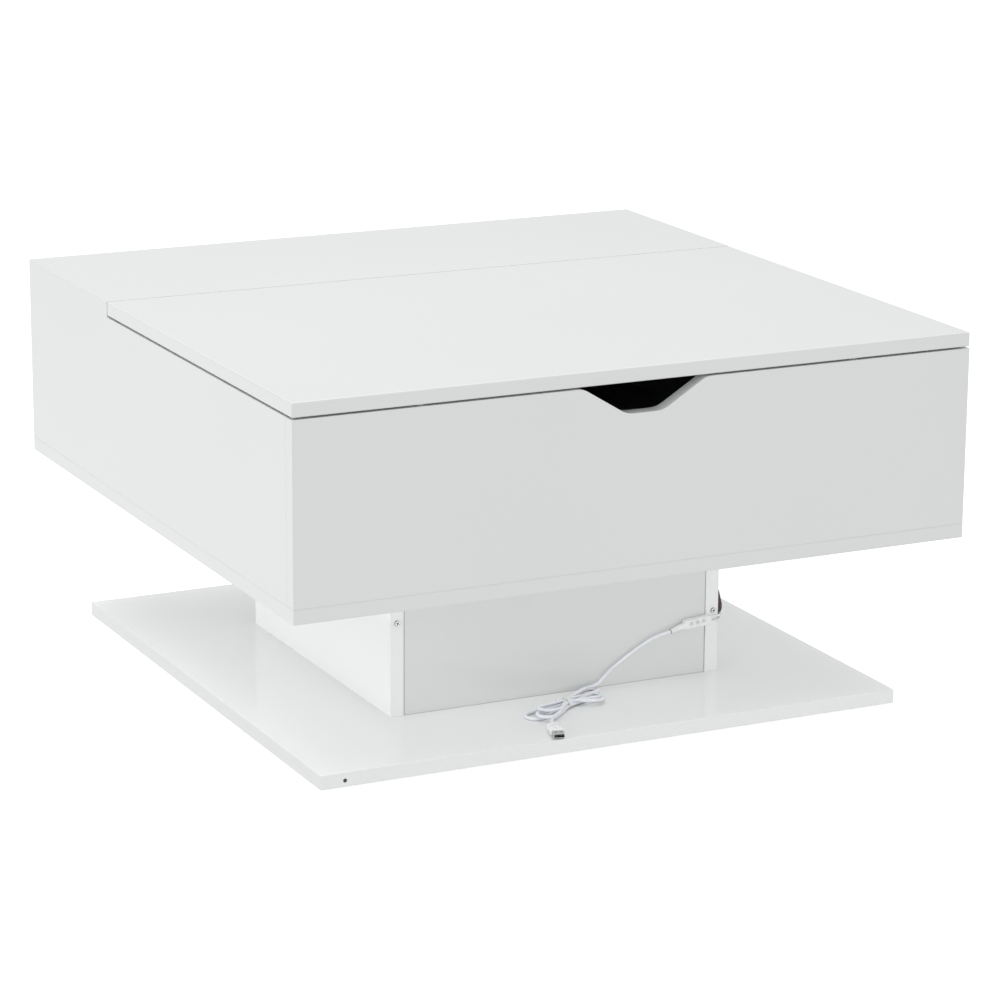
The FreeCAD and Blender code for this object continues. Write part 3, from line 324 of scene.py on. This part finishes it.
FINISH = {
    "powder_coat": powder_coat(),
    "strut_paint": painted_tube(),
    "chrome": plated("rod_chrome", (0.80, 0.81, 0.82), 0.09, (1.0, 6.0, 6.0), 0.04, 0.05),
    "zinc": plated("zinc_plate", (0.66, 0.67, 0.69), 0.30),
    "cam_zinc": plated("cam_die_cast", (0.50, 0.50, 0.51), 0.46, spread=0.1),
    "recessed_screw": recessed_screw("pedestal_edge_screws"),
    "dark_screw": plated("black_zinc", (0.10, 0.10, 0.105), 0.36),
    "nickel": plated("plug_nickel", (0.60, 0.60, 0.59), 0.24, (2.0, 2.0, 8.0)),
    "gold": plated("contact_gold", (0.83, 0.62, 0.28), 0.22),
    "beech": beech(),
    "clear_rubber": clear_rubber(),
    "cord": cord_skin(),
    "led_tape": moulded("led_tape", (0.86, 0.86, 0.82), 0.34, grain=900.0, soft=0.1).material,
    "controller": controller_finish(),
    "glide": moulded("glide_plastic", (0.70, 0.70, 0.69), 0.6, grain=1200.0, depth=0.3).material,
    "white_plastic": moulded("white_plastic", (0.84, 0.85, 0.84), 0.28, soft=0.05).material,
    "button": moulded("button_plastic", (0.76, 0.77, 0.765), 0.36, grain=2600.0).material,
    "icon": moulded("icon_print", (0.33, 0.34, 0.35), 0.5, grain=3000.0).material,
    "black_plastic": moulded("black_plastic", (0.018, 0.018, 0.020), 0.20, depth=0.05).material,
    "black_insulator": moulded("black_insulator", (0.012, 0.012, 0.013), 0.42).material,
    "lens": moulded("infrared_window", (0.042, 0.008, 0.013), 0.16, depth=0.03).material,
    "phosphor": moulded("led_phosphor", (0.88, 0.80, 0.36), 0.38, grain=3000.0, soft=0.1).material,
    "led_case": moulded("led_case", (0.88, 0.88, 0.86), 0.40, grain=3000.0).material,
}

UP, DOWN = (0.0, 0.0, 1.0), (0.0, 0.0, -1.0)
BOARDS = {
    "base_board": (), "pedestal_left_panel": (), "pedestal_right_panel": (),
    "pedestal_front_panel": (), "pedestal_back_panel": (), "bottom_board": (UP,),
    "left_side_panel": ((1.0, 0.0, 0.0),), "right_side_panel": ((-1.0, 0.0, 0.0),),
    "front_panel": ((0.0, 1.0, 0.0),), "back_panel": ((0.0, -1.0, 0.0),),
    "rear_top_panel": (DOWN,), "rear_rail": ((0.0, -1.0, 0.0), (0.0, 1.0, 0.0), DOWN), "lid_panel": (DOWN,),
}
NODE_FINISH = {
    "base_glides": "glide", "base_edge_screw": "dark_screw", "pedestal_edge_screws": "recessed_screw",
    "wood_dowels": "beech", "carcass_screws": "zinc", "cam_locks": "cam_zinc", "cam_bolts": "zinc",
    "lid_bumpers": "clear_rubber", "lid_bracket_screws": "zinc", "base_bracket_screws": "zinc",
    "lid_pivot_rivets": "zinc", "base_pivot_rivets": "zinc", "strut_base_studs": "zinc",
    "led_strip": "led_tape", "strip_lead": "white_plastic", "lead_clips": "white_plastic",
    "controller_body": "controller", "receiver_housing": "black_plastic", "receiver_lens": "lens",
    "receiver_lead": "white_plastic",
    "power_button": "button", "colour_button": "button", "mode_button": "button",
    "usb_plug_shell": "nickel", "usb_plug_tongue": "black_insulator", "usb_plug_body": "white_plastic",
    "usb_cord_lead": "cord", "usb_cord_tail": "cord", "usb_cord_hank": "cord",
    "usb_cord_tie": "white_plastic",
}
SIDE_FINISH = {
    "base_bracket": "powder_coat", "lid_bracket": "powder_coat", "front_arm": "powder_coat",
    "rear_arm": "powder_coat", "arm_stud": "zinc", "strut_cylinder": "strut_paint", "strut_rod": "chrome",
}
for part, finish in SIDE_FINISH.items():
    NODE_FINISH["left_" + part] = finish
    NODE_FINISH["right_" + part] = finish


def coat(obj, material):
    obj.data.materials.clear()
    obj.data.materials.append(material)


for node_name, node in CAD.items():
    if node_name in BOARDS:
        coat(node, board(node_name, BOARDS[node_name]))
    else:
        coat(node, FINISH[NODE_FINISH[node_name]])


# ================================================================ mesh helpers
def piece(name, mesh, finish, body="root", smooth=True):
    """An object from a bmesh, finished and riding on its body."""
    data = bpy.data.meshes.new(name)
    bmesh.ops.recalc_face_normals(mesh, faces=mesh.faces[:])
    mesh.to_mesh(data)
    mesh.free()
    obj = bpy.data.objects.new(name, data)
    bpy.context.scene.collection.objects.link(obj)
    obj.data.materials.append(FINISH[finish])
    if smooth:
        obj.data.shade_smooth()
    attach(obj, body)
    return obj


def add_ring_skin(mesh, rings, cap=True):
    """Faces between rings of points, closed at both ends."""
    rows = [[mesh.verts.new(p) for p in ring] for ring in rings]
    for before, after in zip(rows, rows[1:]):
        for i in range(len(before)):
            j = (i + 1) % len(before)
            mesh.faces.new((before[i], before[j], after[j], after[i]))
    if cap:
        mesh.faces.new(rows[0][::-1])
        mesh.faces.new(rows[-1])


def squircle(half_width, half_height, power, count=32):
    """Points round a shape between an ellipse (power 2) and a rectangle (higher powers)."""
    points = []
    for i in range(count):
        angle = 2 * math.pi * (i + 0.5) / count
        c, s = math.cos(angle), math.sin(angle)
        reach = (abs(c) ** power + abs(s) ** power) ** (-1 / power)
        points.append((half_width * reach * c, half_height * reach * s))
    return points


def wire_mesh(mesh, path, radius, closed=False, sides=10):
    """A round wire along points, for small pieces."""
    count = len(path)
    rings = []
    side = None
    for i, point in enumerate(path):
        ahead = path[(i + 1) % count] if closed or i + 1 < count else point
        behind = path[i - 1] if closed or i else point
        along = (ahead - behind).normalized()
        if side is None:
            side = along.orthogonal().normalized()
        side = (side - along * side.dot(along)).normalized()
        other = along.cross(side)
        rings.append([point + (side * math.cos(a) + other * math.sin(a)) * radius
                      for a in (2 * math.pi * k / sides for k in range(sides))])
    add_ring_skin(mesh, rings + [rings[0]] if closed else rings, cap=not closed)
    if closed:
        bmesh.ops.remove_doubles(mesh, verts=mesh.verts, dist=1e-7)


# ================================================================ USB cord
CORD_RADIUS = 1.9 * MM
REST_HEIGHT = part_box("base_board")[1].z + CORD_RADIUS
LAYER = 3.8 * MM        # a strand that lies on another is this much higher
HANK_START = (31.0, 3.5, 1.9)      # along, across and layer, where the lead comes into the hank
LEAD = [
    (141.0, -208.7, 73.2), (127.5, -209.0, 71.6), (111.0, -208.3, 65.2), (93.0, -207.9, 55.4),
    (76.0, -207.7, 45.0), (62.5, -208.2, 36.0), (53.5, -209.8, 28.4), (44.5, -213.5, 24.2),
]
TAIL = [(-25.0, -269.5, 20.4), (-39.0, -282.0, 20.1), (-53.3, -293.4, 21.2), (-57.0, -305.5, 22.1)]
HANK_PLACE, HANK_TURN = (-10.0, -244.0, 0.0), 24.3
HANK = Matrix.Translation(Vector(HANK_PLACE) * MM) @ Matrix.Rotation(math.radians(HANK_TURN), 4, "Z")
TIE_PLACE = (-5.0, -6.0)
TIE_HALF = 5.0          # the strands run parallel this far each side of the tie
TIE_LIFT = 0.4          # the tie's wire lies under them, in layers
# Where each strand passes the tie: across it, and its layer.
SLOTS = [(5.8, 0.0), (-1.9, 0.0), (1.9, 0.0), (-3.8, 0.87), (3.8, 0.87), (0.0, 0.87), (-5.8, 0.0)]
# Each fold: its middle along and across the hank, its two radii, whether its far strand comes first,
# the layers of the strand going in, of the tip and of the strand coming out, and the two strands' sags.
FOLDS = [
    (-56.0, -4.0, 12.0, 12.0, True, 0.0, 0.0, 0.0, 0.0, 0.0),
    (50.0, 4.0, 10.5, 10.0, False, 0.9, 0.05, 0.0, 0.0, 0.0),
    (-53.0, -16.5, 10.5, 11.0, True, 1.0, 1.0, 1.0, 0.0, -2.0),
    (34.0, -12.0, 10.0, 10.0, False, 1.0, 0.6, 0.3, -1.0, 0.0),
    (-43.0, -9.0, 10.0, 10.0, True, 1.7, 2.0, 1.8, 0.0, -7.0),
    (26.5, -20.5, 10.5, 10.0, False, 1.0, 0.6, 0.0, -5.5, 0.0),
]
FOLD_ANGLES = (90.0, 58.0, 29.0, 0.0, -29.0, -58.0, -90.0)
APPROACH = 0.55         # a strand's halfway point, as shares of its way to the fold


def hank_point(along, across, layer):
    return HANK @ Vector((along * MM, across * MM, REST_HEIGHT + layer * LAYER))


def fold_points(fold):
    """The arc at one end of the hank, with the layer changing along it."""
    along, across, reach, spread, far_first, first, tip, last = fold[:8]
    side = math.copysign(1.0, along)
    points = []
    for angle in FOLD_ANGLES if far_first else FOLD_ANGLES[::-1]:
        a = math.radians(angle)
        share = (90.0 - angle) / 180.0 if far_first else (90.0 + angle) / 180.0
        layer = first + (tip - first) * 2 * share if share < 0.5 else tip + (last - tip) * (2 * share - 1)
        points.append((along + side * reach * math.cos(a), across + spread * math.sin(a), layer))
    return points


def at_tie(slot, side):
    return (TIE_PLACE[0] + side * TIE_HALF, TIE_PLACE[1] + slot[0], slot[1] + TIE_LIFT)


def halfway(slot, end, side, sag):
    """A point on a strand between the tie and its fold."""
    along, across, layer = at_tie(slot, side)
    return (along + APPROACH * (end[0] - along), across + APPROACH * (end[1] - across) + sag,
            layer + 0.5 * (end[2] - layer))


def hank_route():
    points = [HANK_START, at_tie(SLOTS[0], 1.0)]
    for index, fold in enumerate(FOLDS):
        side = math.copysign(1.0, fold[0])
        arc = fold_points(fold)
        points.append(at_tie(SLOTS[index], side))
        points.append(halfway(SLOTS[index], arc[0], side, fold[8]))
        points += arc
        points.append(halfway(SLOTS[index + 1], arc[-1], side, fold[9]))
        points.append(at_tie(SLOTS[index + 1], side))
    points.append(at_tie(SLOTS[-1], -1.0))
    return [hank_point(*p) for p in points]


route = [Vector(p) * MM for p in LEAD] + hank_route() + [Vector(p) * MM for p in TAIL]
line = bpy.data.curves.new("usb_cord", "CURVE")
line.dimensions = "3D"
line.bevel_depth = CORD_RADIUS
line.bevel_resolution = 6
line.resolution_u = 8
line.use_fill_caps = True
spline = line.splines.new("NURBS")
spline.points.add(len(route) - 1)
for control, place in zip(spline.points, route):
    control.co = (*place, 1.0)
spline.order_u = 3
spline.use_endpoint_u = True
cord = bpy.data.objects.new("usb_cord", line)
bpy.context.scene.collection.objects.link(cord)
cord.data.materials.append(FINISH["cord"])
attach(cord, "root")
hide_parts("usb_cord_lead", "usb_cord_tail", "usb_cord_hank")


TIE_HALF_WIDTH, TIE_HALF_HEIGHT, TIE_WIRE = 8.6 * MM, 4.4 * MM, 0.62 * MM
TIE_ROUNDNESS = 2.6
TIE_SLANT = 0.38                            # how far a loop moves along the hank for its way across
TIE_LOOPS = ((-1.2, 0.6), (0.9, -0.5))      # each loop's place along the hank, and its lean
TWIST_STEPS = 14
TWIST_START, TWIST_REACH = (-1.0, 5.6), (-8.0, 2.6)     # along and across the hank
TWIST_TURN = 5.0                            # radians that the two ends wind round each other
TWIST_DROP = 1.2 * MM
TWIST_APART = 0.9                           # of the wire's radius, each side


def tie():
    """A thin white wire tie, twice round the hank, with its twisted ends."""
    mesh = bmesh.new()
    place = HANK @ Matrix.Translation(Vector((*TIE_PLACE, 0.0)) * MM)
    middle = REST_HEIGHT - CORD_RADIUS + TIE_HALF_HEIGHT + TIE_WIRE
    for start, lean in TIE_LOOPS:
        loop = []
        for across, up in squircle(TIE_HALF_WIDTH, TIE_HALF_HEIGHT, TIE_ROUNDNESS, 40):
            along = start * MM + lean * MM * up / TIE_HALF_HEIGHT + TIE_SLANT * across
            loop.append(place @ Vector((along, across, middle + up)))
        wire_mesh(mesh, loop, TIE_WIRE, closed=True)
    apart = TIE_WIRE * TWIST_APART
    top = middle + TIE_HALF_HEIGHT * 0.93
    for strand in (0.0, math.pi):
        twist = []
        for step in range(TWIST_STEPS + 1):
            share = step / TWIST_STEPS
            angle = strand + share * TWIST_TURN
            twist.append(place @ Vector((
                (TWIST_START[0] + TWIST_REACH[0] * share) * MM + apart * math.cos(angle),
                (TWIST_START[1] + TWIST_REACH[1] * share) * MM + apart * math.sin(angle),
                top - TWIST_DROP * share * share + apart * math.sin(angle + 0.8))))
        wire_mesh(mesh, twist, TIE_WIRE)
    return piece("usb_cord_twist_tie", mesh, "white_plastic")


PLUG_TURN = 252.96
PLUG = Matrix.Translation(Vector(TAIL[-1]) * MM) @ Matrix.Rotation(math.radians(PLUG_TURN), 4, "Z")
PLUG_RELIEF, PLUG_LENGTH = 9.0, 24.0
PLUG_RIBS, PLUG_RIB_PITCH = 4, 2.2
PLUG_RIB_RADIUS, PLUG_RIB_GROWTH = 2.15, 0.28
PLUG_GROOVE = 0.35                  # depth of the grooves between the relief's ribs
# Sections of the plug's body: distance from its shoulder, half width, half height, squareness.
PLUG_BODY = [
    (0.0, 3.6, 3.2, 2.3), (0.7, 5.4, 3.55, 2.8), (1.8, 6.9, 3.8, 3.6), (3.4, 7.7, 3.95, 4.6),
    (6.0, 8.0, 4.0, 5.5), (9.0, 7.85, 4.0, 5.5), (13.0, 7.75, 4.0, 5.5), (18.0, 7.9, 4.0, 5.5),
    (21.5, 8.0, 4.0, 6.0), (PLUG_LENGTH - 0.45, 8.0, 4.0, 6.0), (PLUG_LENGTH - 0.12, 7.85, 3.85, 6.0),
    (PLUG_LENGTH, 7.55, 3.55, 6.0),
]
CONTACTS = ((-3.5, 8.2), (-1.0, 7.2), (1.0, 7.2), (3.5, 8.2))      # place across the tongue, and length
CONTACT_INSET = 1.2                 # from the body's mouth to the contacts
CONTACT_WIDTH, CONTACT_HEIGHT, CONTACT_EDGE = 1.0, 0.14, 0.05


def plug_cover():
    """The plug's overmould: a ribbed strain relief, and a body with grip dents and a rim at its mouth."""
    sections = [(-1.2, 1.85, 1.85, 2.0)]
    for rib in range(PLUG_RIBS):
        start = rib * PLUG_RIB_PITCH
        size = PLUG_RIB_RADIUS + PLUG_RIB_GROWTH * rib
        groove = size - PLUG_GROOVE
        for along, radius in ((0.1, size), (1.3, size + 0.12), (1.45, groove), (2.0, groove)):
            sections.append((start + along, radius, radius, 2.0))
    sections += [(PLUG_RELIEF + along, *shape) for along, *shape in PLUG_BODY]
    mesh = bmesh.new()
    rings = []
    for along, half_width, half_height, power in sections:
        outline = squircle(half_width * MM, half_height * MM, power, 48)
        rings.append([PLUG @ Vector((along * MM, across, up)) for across, up in outline])
    add_ring_skin(mesh, rings)
    obj = piece("usb_plug_cover", mesh, "white_plastic")
    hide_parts("usb_plug_body")
    return obj


def plug_contacts():
    """Four gilt strips on the tongue, facing the mouth's open side."""
    tongue_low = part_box("usb_plug_tongue")[0].z
    mesh = bmesh.new()
    start = PLUG_RELIEF + PLUG_LENGTH + CONTACT_INSET
    height = tongue_low - TAIL[-1][2] * MM
    for offset, length in CONTACTS:
        size = Matrix.Diagonal((length * MM, CONTACT_WIDTH * MM, CONTACT_HEIGHT * MM, 1.0))
        place = Matrix.Translation(Vector(((start + length / 2) * MM, offset * MM, height)))
        bmesh.ops.create_cube(mesh, size=1.0, matrix=PLUG @ place @ size)
    bmesh.ops.bevel(mesh, geom=mesh.edges[:], offset=CONTACT_EDGE * MM, segments=1, affect="EDGES")
    return piece("usb_plug_contacts", mesh, "gold", smooth=False)


twist_tie = tie()
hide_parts("usb_cord_tie")
cover = plug_cover()
contacts = plug_contacts()


# ================================================================ controller and light strip details
RELIEF_ROOT = (159.6, -208.9, 78.3)         # where the cord's line meets the controller's case
RIB_PLACES = (0.7, 2.6, 4.7, 7.0, 9.5)      # from the relief's tip
RIB_RADIUS, RIB_TAPER, RIB_WIRE = 2.75, 0.075, 0.42
# Painted shadow: a dark ring at the cord's exit stands for the shade in the gap there.
GAP_SHADOW_RADIUS, GAP_SHADOW_WIRE = 2.22, 0.36


def exit_frame():
    """A frame at the cord's exit, its X axis pointing back into the controller."""
    tip = Vector(LEAD[0]) * MM
    into = (Vector(RELIEF_ROOT) * MM - tip).normalized()
    return Matrix.Translation(tip) @ into.to_track_quat("X", "Z").to_matrix().to_4x4()


def ring(mesh, place, along, radius, wire):
    """A round ring about the frame's X axis."""
    loop = [place @ Vector((along, radius * math.cos(a), radius * math.sin(a)))
            for a in (2 * math.pi * k / 40 for k in range(40))]
    wire_mesh(mesh, loop, wire, closed=True)


def relief_ribs():
    """Grip ribs round the tapered strain relief, closest together at its tip."""
    mesh = bmesh.new()
    place = exit_frame()
    for along in RIB_PLACES:
        ring(mesh, place, along * MM, (RIB_RADIUS + RIB_TAPER * along) * MM, RIB_WIRE * MM)
    return piece("controller_relief_ribs", mesh, "white_plastic")


def gap_shadow_ring():
    """Painted shadow: a dark ring that stands for the shade in the gap round the cord where it leaves the
    relief.
    """
    mesh = bmesh.new()
    ring(mesh, exit_frame(), 0.0, GAP_SHADOW_RADIUS * MM, GAP_SHADOW_WIRE * MM)
    # The ring takes the black insulator's finish, as painted shadow.
    return piece("controller_exit_ring", mesh, "black_insulator")


ICON_WIRE = 0.13


def stroke(mesh, centre, points):
    """One printed line of an icon on a button's face."""
    path = [centre + Vector((x, 0.0, z)) * MM for x, z in points]
    wire_mesh(mesh, path, ICON_WIRE * MM, sides=6)


def arc(radius, start, end, count=18):
    angles = [math.radians(start + (end - start) * k / (count - 1)) for k in range(count)]
    return [(radius * math.cos(a), radius * math.sin(a)) for a in angles]


ICONS = {
    "power": [arc(1.05, 125.0, 415.0), [(0.0, 0.45), (0.0, 1.35)]],
    "colour": [arc(0.45, 0.0, 340.0)] + [[(0.85 * c, 0.85 * z), (1.3 * c, 1.3 * z)]
                                         for c, z in arc(1.0, 0.0, 315.0, 8)],
    "mode": [[(-1.1, -0.5), (-0.4, 0.6), (0.4, -0.6), (1.1, 0.5)]],
}


def button_icons():
    """A printed icon on each key, riding on the key's own body."""
    for name, strokes in ICONS.items():
        low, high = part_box(name + "_button")
        centre = Vector(((low.x + high.x) / 2, low.y, (low.z + high.z) / 2))
        mesh = bmesh.new()
        for points in strokes:
            stroke(mesh, centre, points)
        piece(name + "_icon", mesh, "icon", body=name + "_key")


CHIP_PITCH = 16.6
CHIP = (5.0, 5.0, 0.9)
CHIP_EDGE = 0.18
STRIP_MIDDLE = 5.0          # from the strip's outer edge to its middle
WINDOW_RADIUS, WINDOW_FLATNESS = 1.9, 0.16


def chip_places():
    """Even places along the middle of the four lengths of light strip."""
    low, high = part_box("led_strip")
    inset = STRIP_MIDDLE * MM
    x0, x1, y0, y1 = low.x + inset, high.x - inset, low.y + inset, high.y - inset
    lengths = [((x0, y0), (x1, y0)), ((x0, y1), (x1, y1)), ((x0, y0), (x0, y1)), ((x1, y0), (x1, y1))]
    for start, end in lengths:
        span = math.dist(start, end)
        count = int(span / (CHIP_PITCH * MM))
        for k in range(1, count):
            share = k / count
            yield (start[0] + share * (end[0] - start[0]), start[1] + share * (end[1] - start[1]), low.z)


def light_chips():
    """The strip's chips and the round yellow windows in them."""
    cases, windows = bmesh.new(), bmesh.new()
    size = Matrix.Diagonal((*(Vector(CHIP) * MM), 1.0))
    flat = Matrix.Diagonal((1.0, 1.0, WINDOW_FLATNESS, 1.0))
    for x, y, z in chip_places():
        bmesh.ops.create_cube(cases, size=1.0, matrix=Matrix.Translation((x, y, z - CHIP[2] / 2 * MM)) @ size)
        bmesh.ops.create_uvsphere(windows, u_segments=16, v_segments=8, radius=WINDOW_RADIUS * MM,
                                  matrix=Matrix.Translation((x, y, z - CHIP[2] * MM)) @ flat)
    bmesh.ops.bevel(cases, geom=cases.edges[:], offset=CHIP_EDGE * MM, segments=2, affect="EDGES")
    piece("led_chips", cases, "led_case", smooth=False)
    piece("led_chip_windows", windows, "phosphor")


ribs = relief_ribs()
# The painted shadow ring at the cord's exit.
painted_gap_shadow = gap_shadow_ring()
button_icons()
light_chips()


# ================================================================ stage and light
FLOOR_HALF = 30.0
FILL_ANGLE = 60.0
# Each soft light: name, place, what it points at, size and power.
SOFT_LIGHTS = [
    ("overhead", (-0.3, 0.3, 3.4), (0.0, 0.0, 0.3), (3.6, 3.6), 58.0),
    ("left_bank", (-3.2, -0.6, 1.3), (0.0, 0.0, 0.25), (2.4, 1.8), 16.0),
    ("front_low", (0.3, -3.4, 0.7), (0.0, 0.0, 0.2), (3.2, 1.0), 12.5),
]
FILL_TOP = ((-0.15, 0.0, -0.99), 0.80)      # direction and strength
FILL_LEFT = ((0.95, -0.05, -0.30), 0.90)
WORLD_COLOUR, WORLD_STRENGTH = (0.985, 0.99, 1.0, 1.0), 0.6
UNDER_BOX_NAMES = ("base_board", "base_edge", "base_glides", "pedestal_", "controller", "receiver",
                   "power_", "colour_", "mode_", "usb_plug")


def studio_floor():
    mesh = bmesh.new()
    bmesh.ops.create_grid(mesh, x_segments=24, y_segments=24, size=FLOOR_HALF)
    data = bpy.data.meshes.new("floor")
    mesh.to_mesh(data)
    mesh.free()
    obj = bpy.data.objects.new("floor", data)
    bpy.context.scene.collection.objects.link(obj)
    obj.data.materials.append(floor_finish())
    obj.visible_diffuse = False


def soft_light(name, place, aim, size, power):
    lamp = bpy.data.lights.new(name, "AREA")
    lamp.shape = "RECTANGLE"
    lamp.size, lamp.size_y = size
    lamp.energy = power
    obj = bpy.data.objects.new(name, lamp)
    bpy.context.scene.collection.objects.link(obj)
    obj.location = place
    obj.rotation_mode = "QUATERNION"
    obj.rotation_quaternion = (Vector(aim) - Vector(place)).to_track_quat("-Z", "Y")
    obj.visible_camera = False


def fill_light(name, direction, power, receivers):
    """Sun that lights only its receivers, shaded only by them, because the box's shadow leaves them dull."""
    lamp = bpy.data.lights.new(name, "SUN")
    lamp.energy = power
    lamp.angle = math.radians(FILL_ANGLE)
    obj = bpy.data.objects.new(name, lamp)
    bpy.context.scene.collection.objects.link(obj)
    obj.rotation_mode = "QUATERNION"
    obj.rotation_quaternion = Vector(direction).to_track_quat("-Z", "Y")
    lit = bpy.data.collections.new(name + "_lit")
    for receiver in receivers:
        lit.objects.link(receiver)
    obj.light_linking.receiver_collection = lit
    obj.light_linking.blocker_collection = lit


studio_floor()
for light in SOFT_LIGHTS:
    soft_light(*light)
UNDER_BOX = [node for name, node in CAD.items() if name.startswith(UNDER_BOX_NAMES)]
UNDER_BOX += [cord, twist_tie, cover, contacts, ribs, painted_gap_shadow]
NOT_FRONT = [obj for obj in UNDER_BOX if obj.name != "pedestal_front_panel"]
fill_light("under_box_top", *FILL_TOP, NOT_FRONT)
fill_light("under_box_left", *FILL_LEFT, [obj for obj in NOT_FRONT if obj.name != "base_board"])

world = bpy.data.worlds.new("studio")
world.use_nodes = True
world.node_tree.nodes["Background"].inputs["Color"].default_value = WORLD_COLOUR
world.node_tree.nodes["Background"].inputs["Strength"].default_value = WORLD_STRENGTH
bpy.context.scene.world = world
bpy.context.scene.view_settings.view_transform = "Standard"
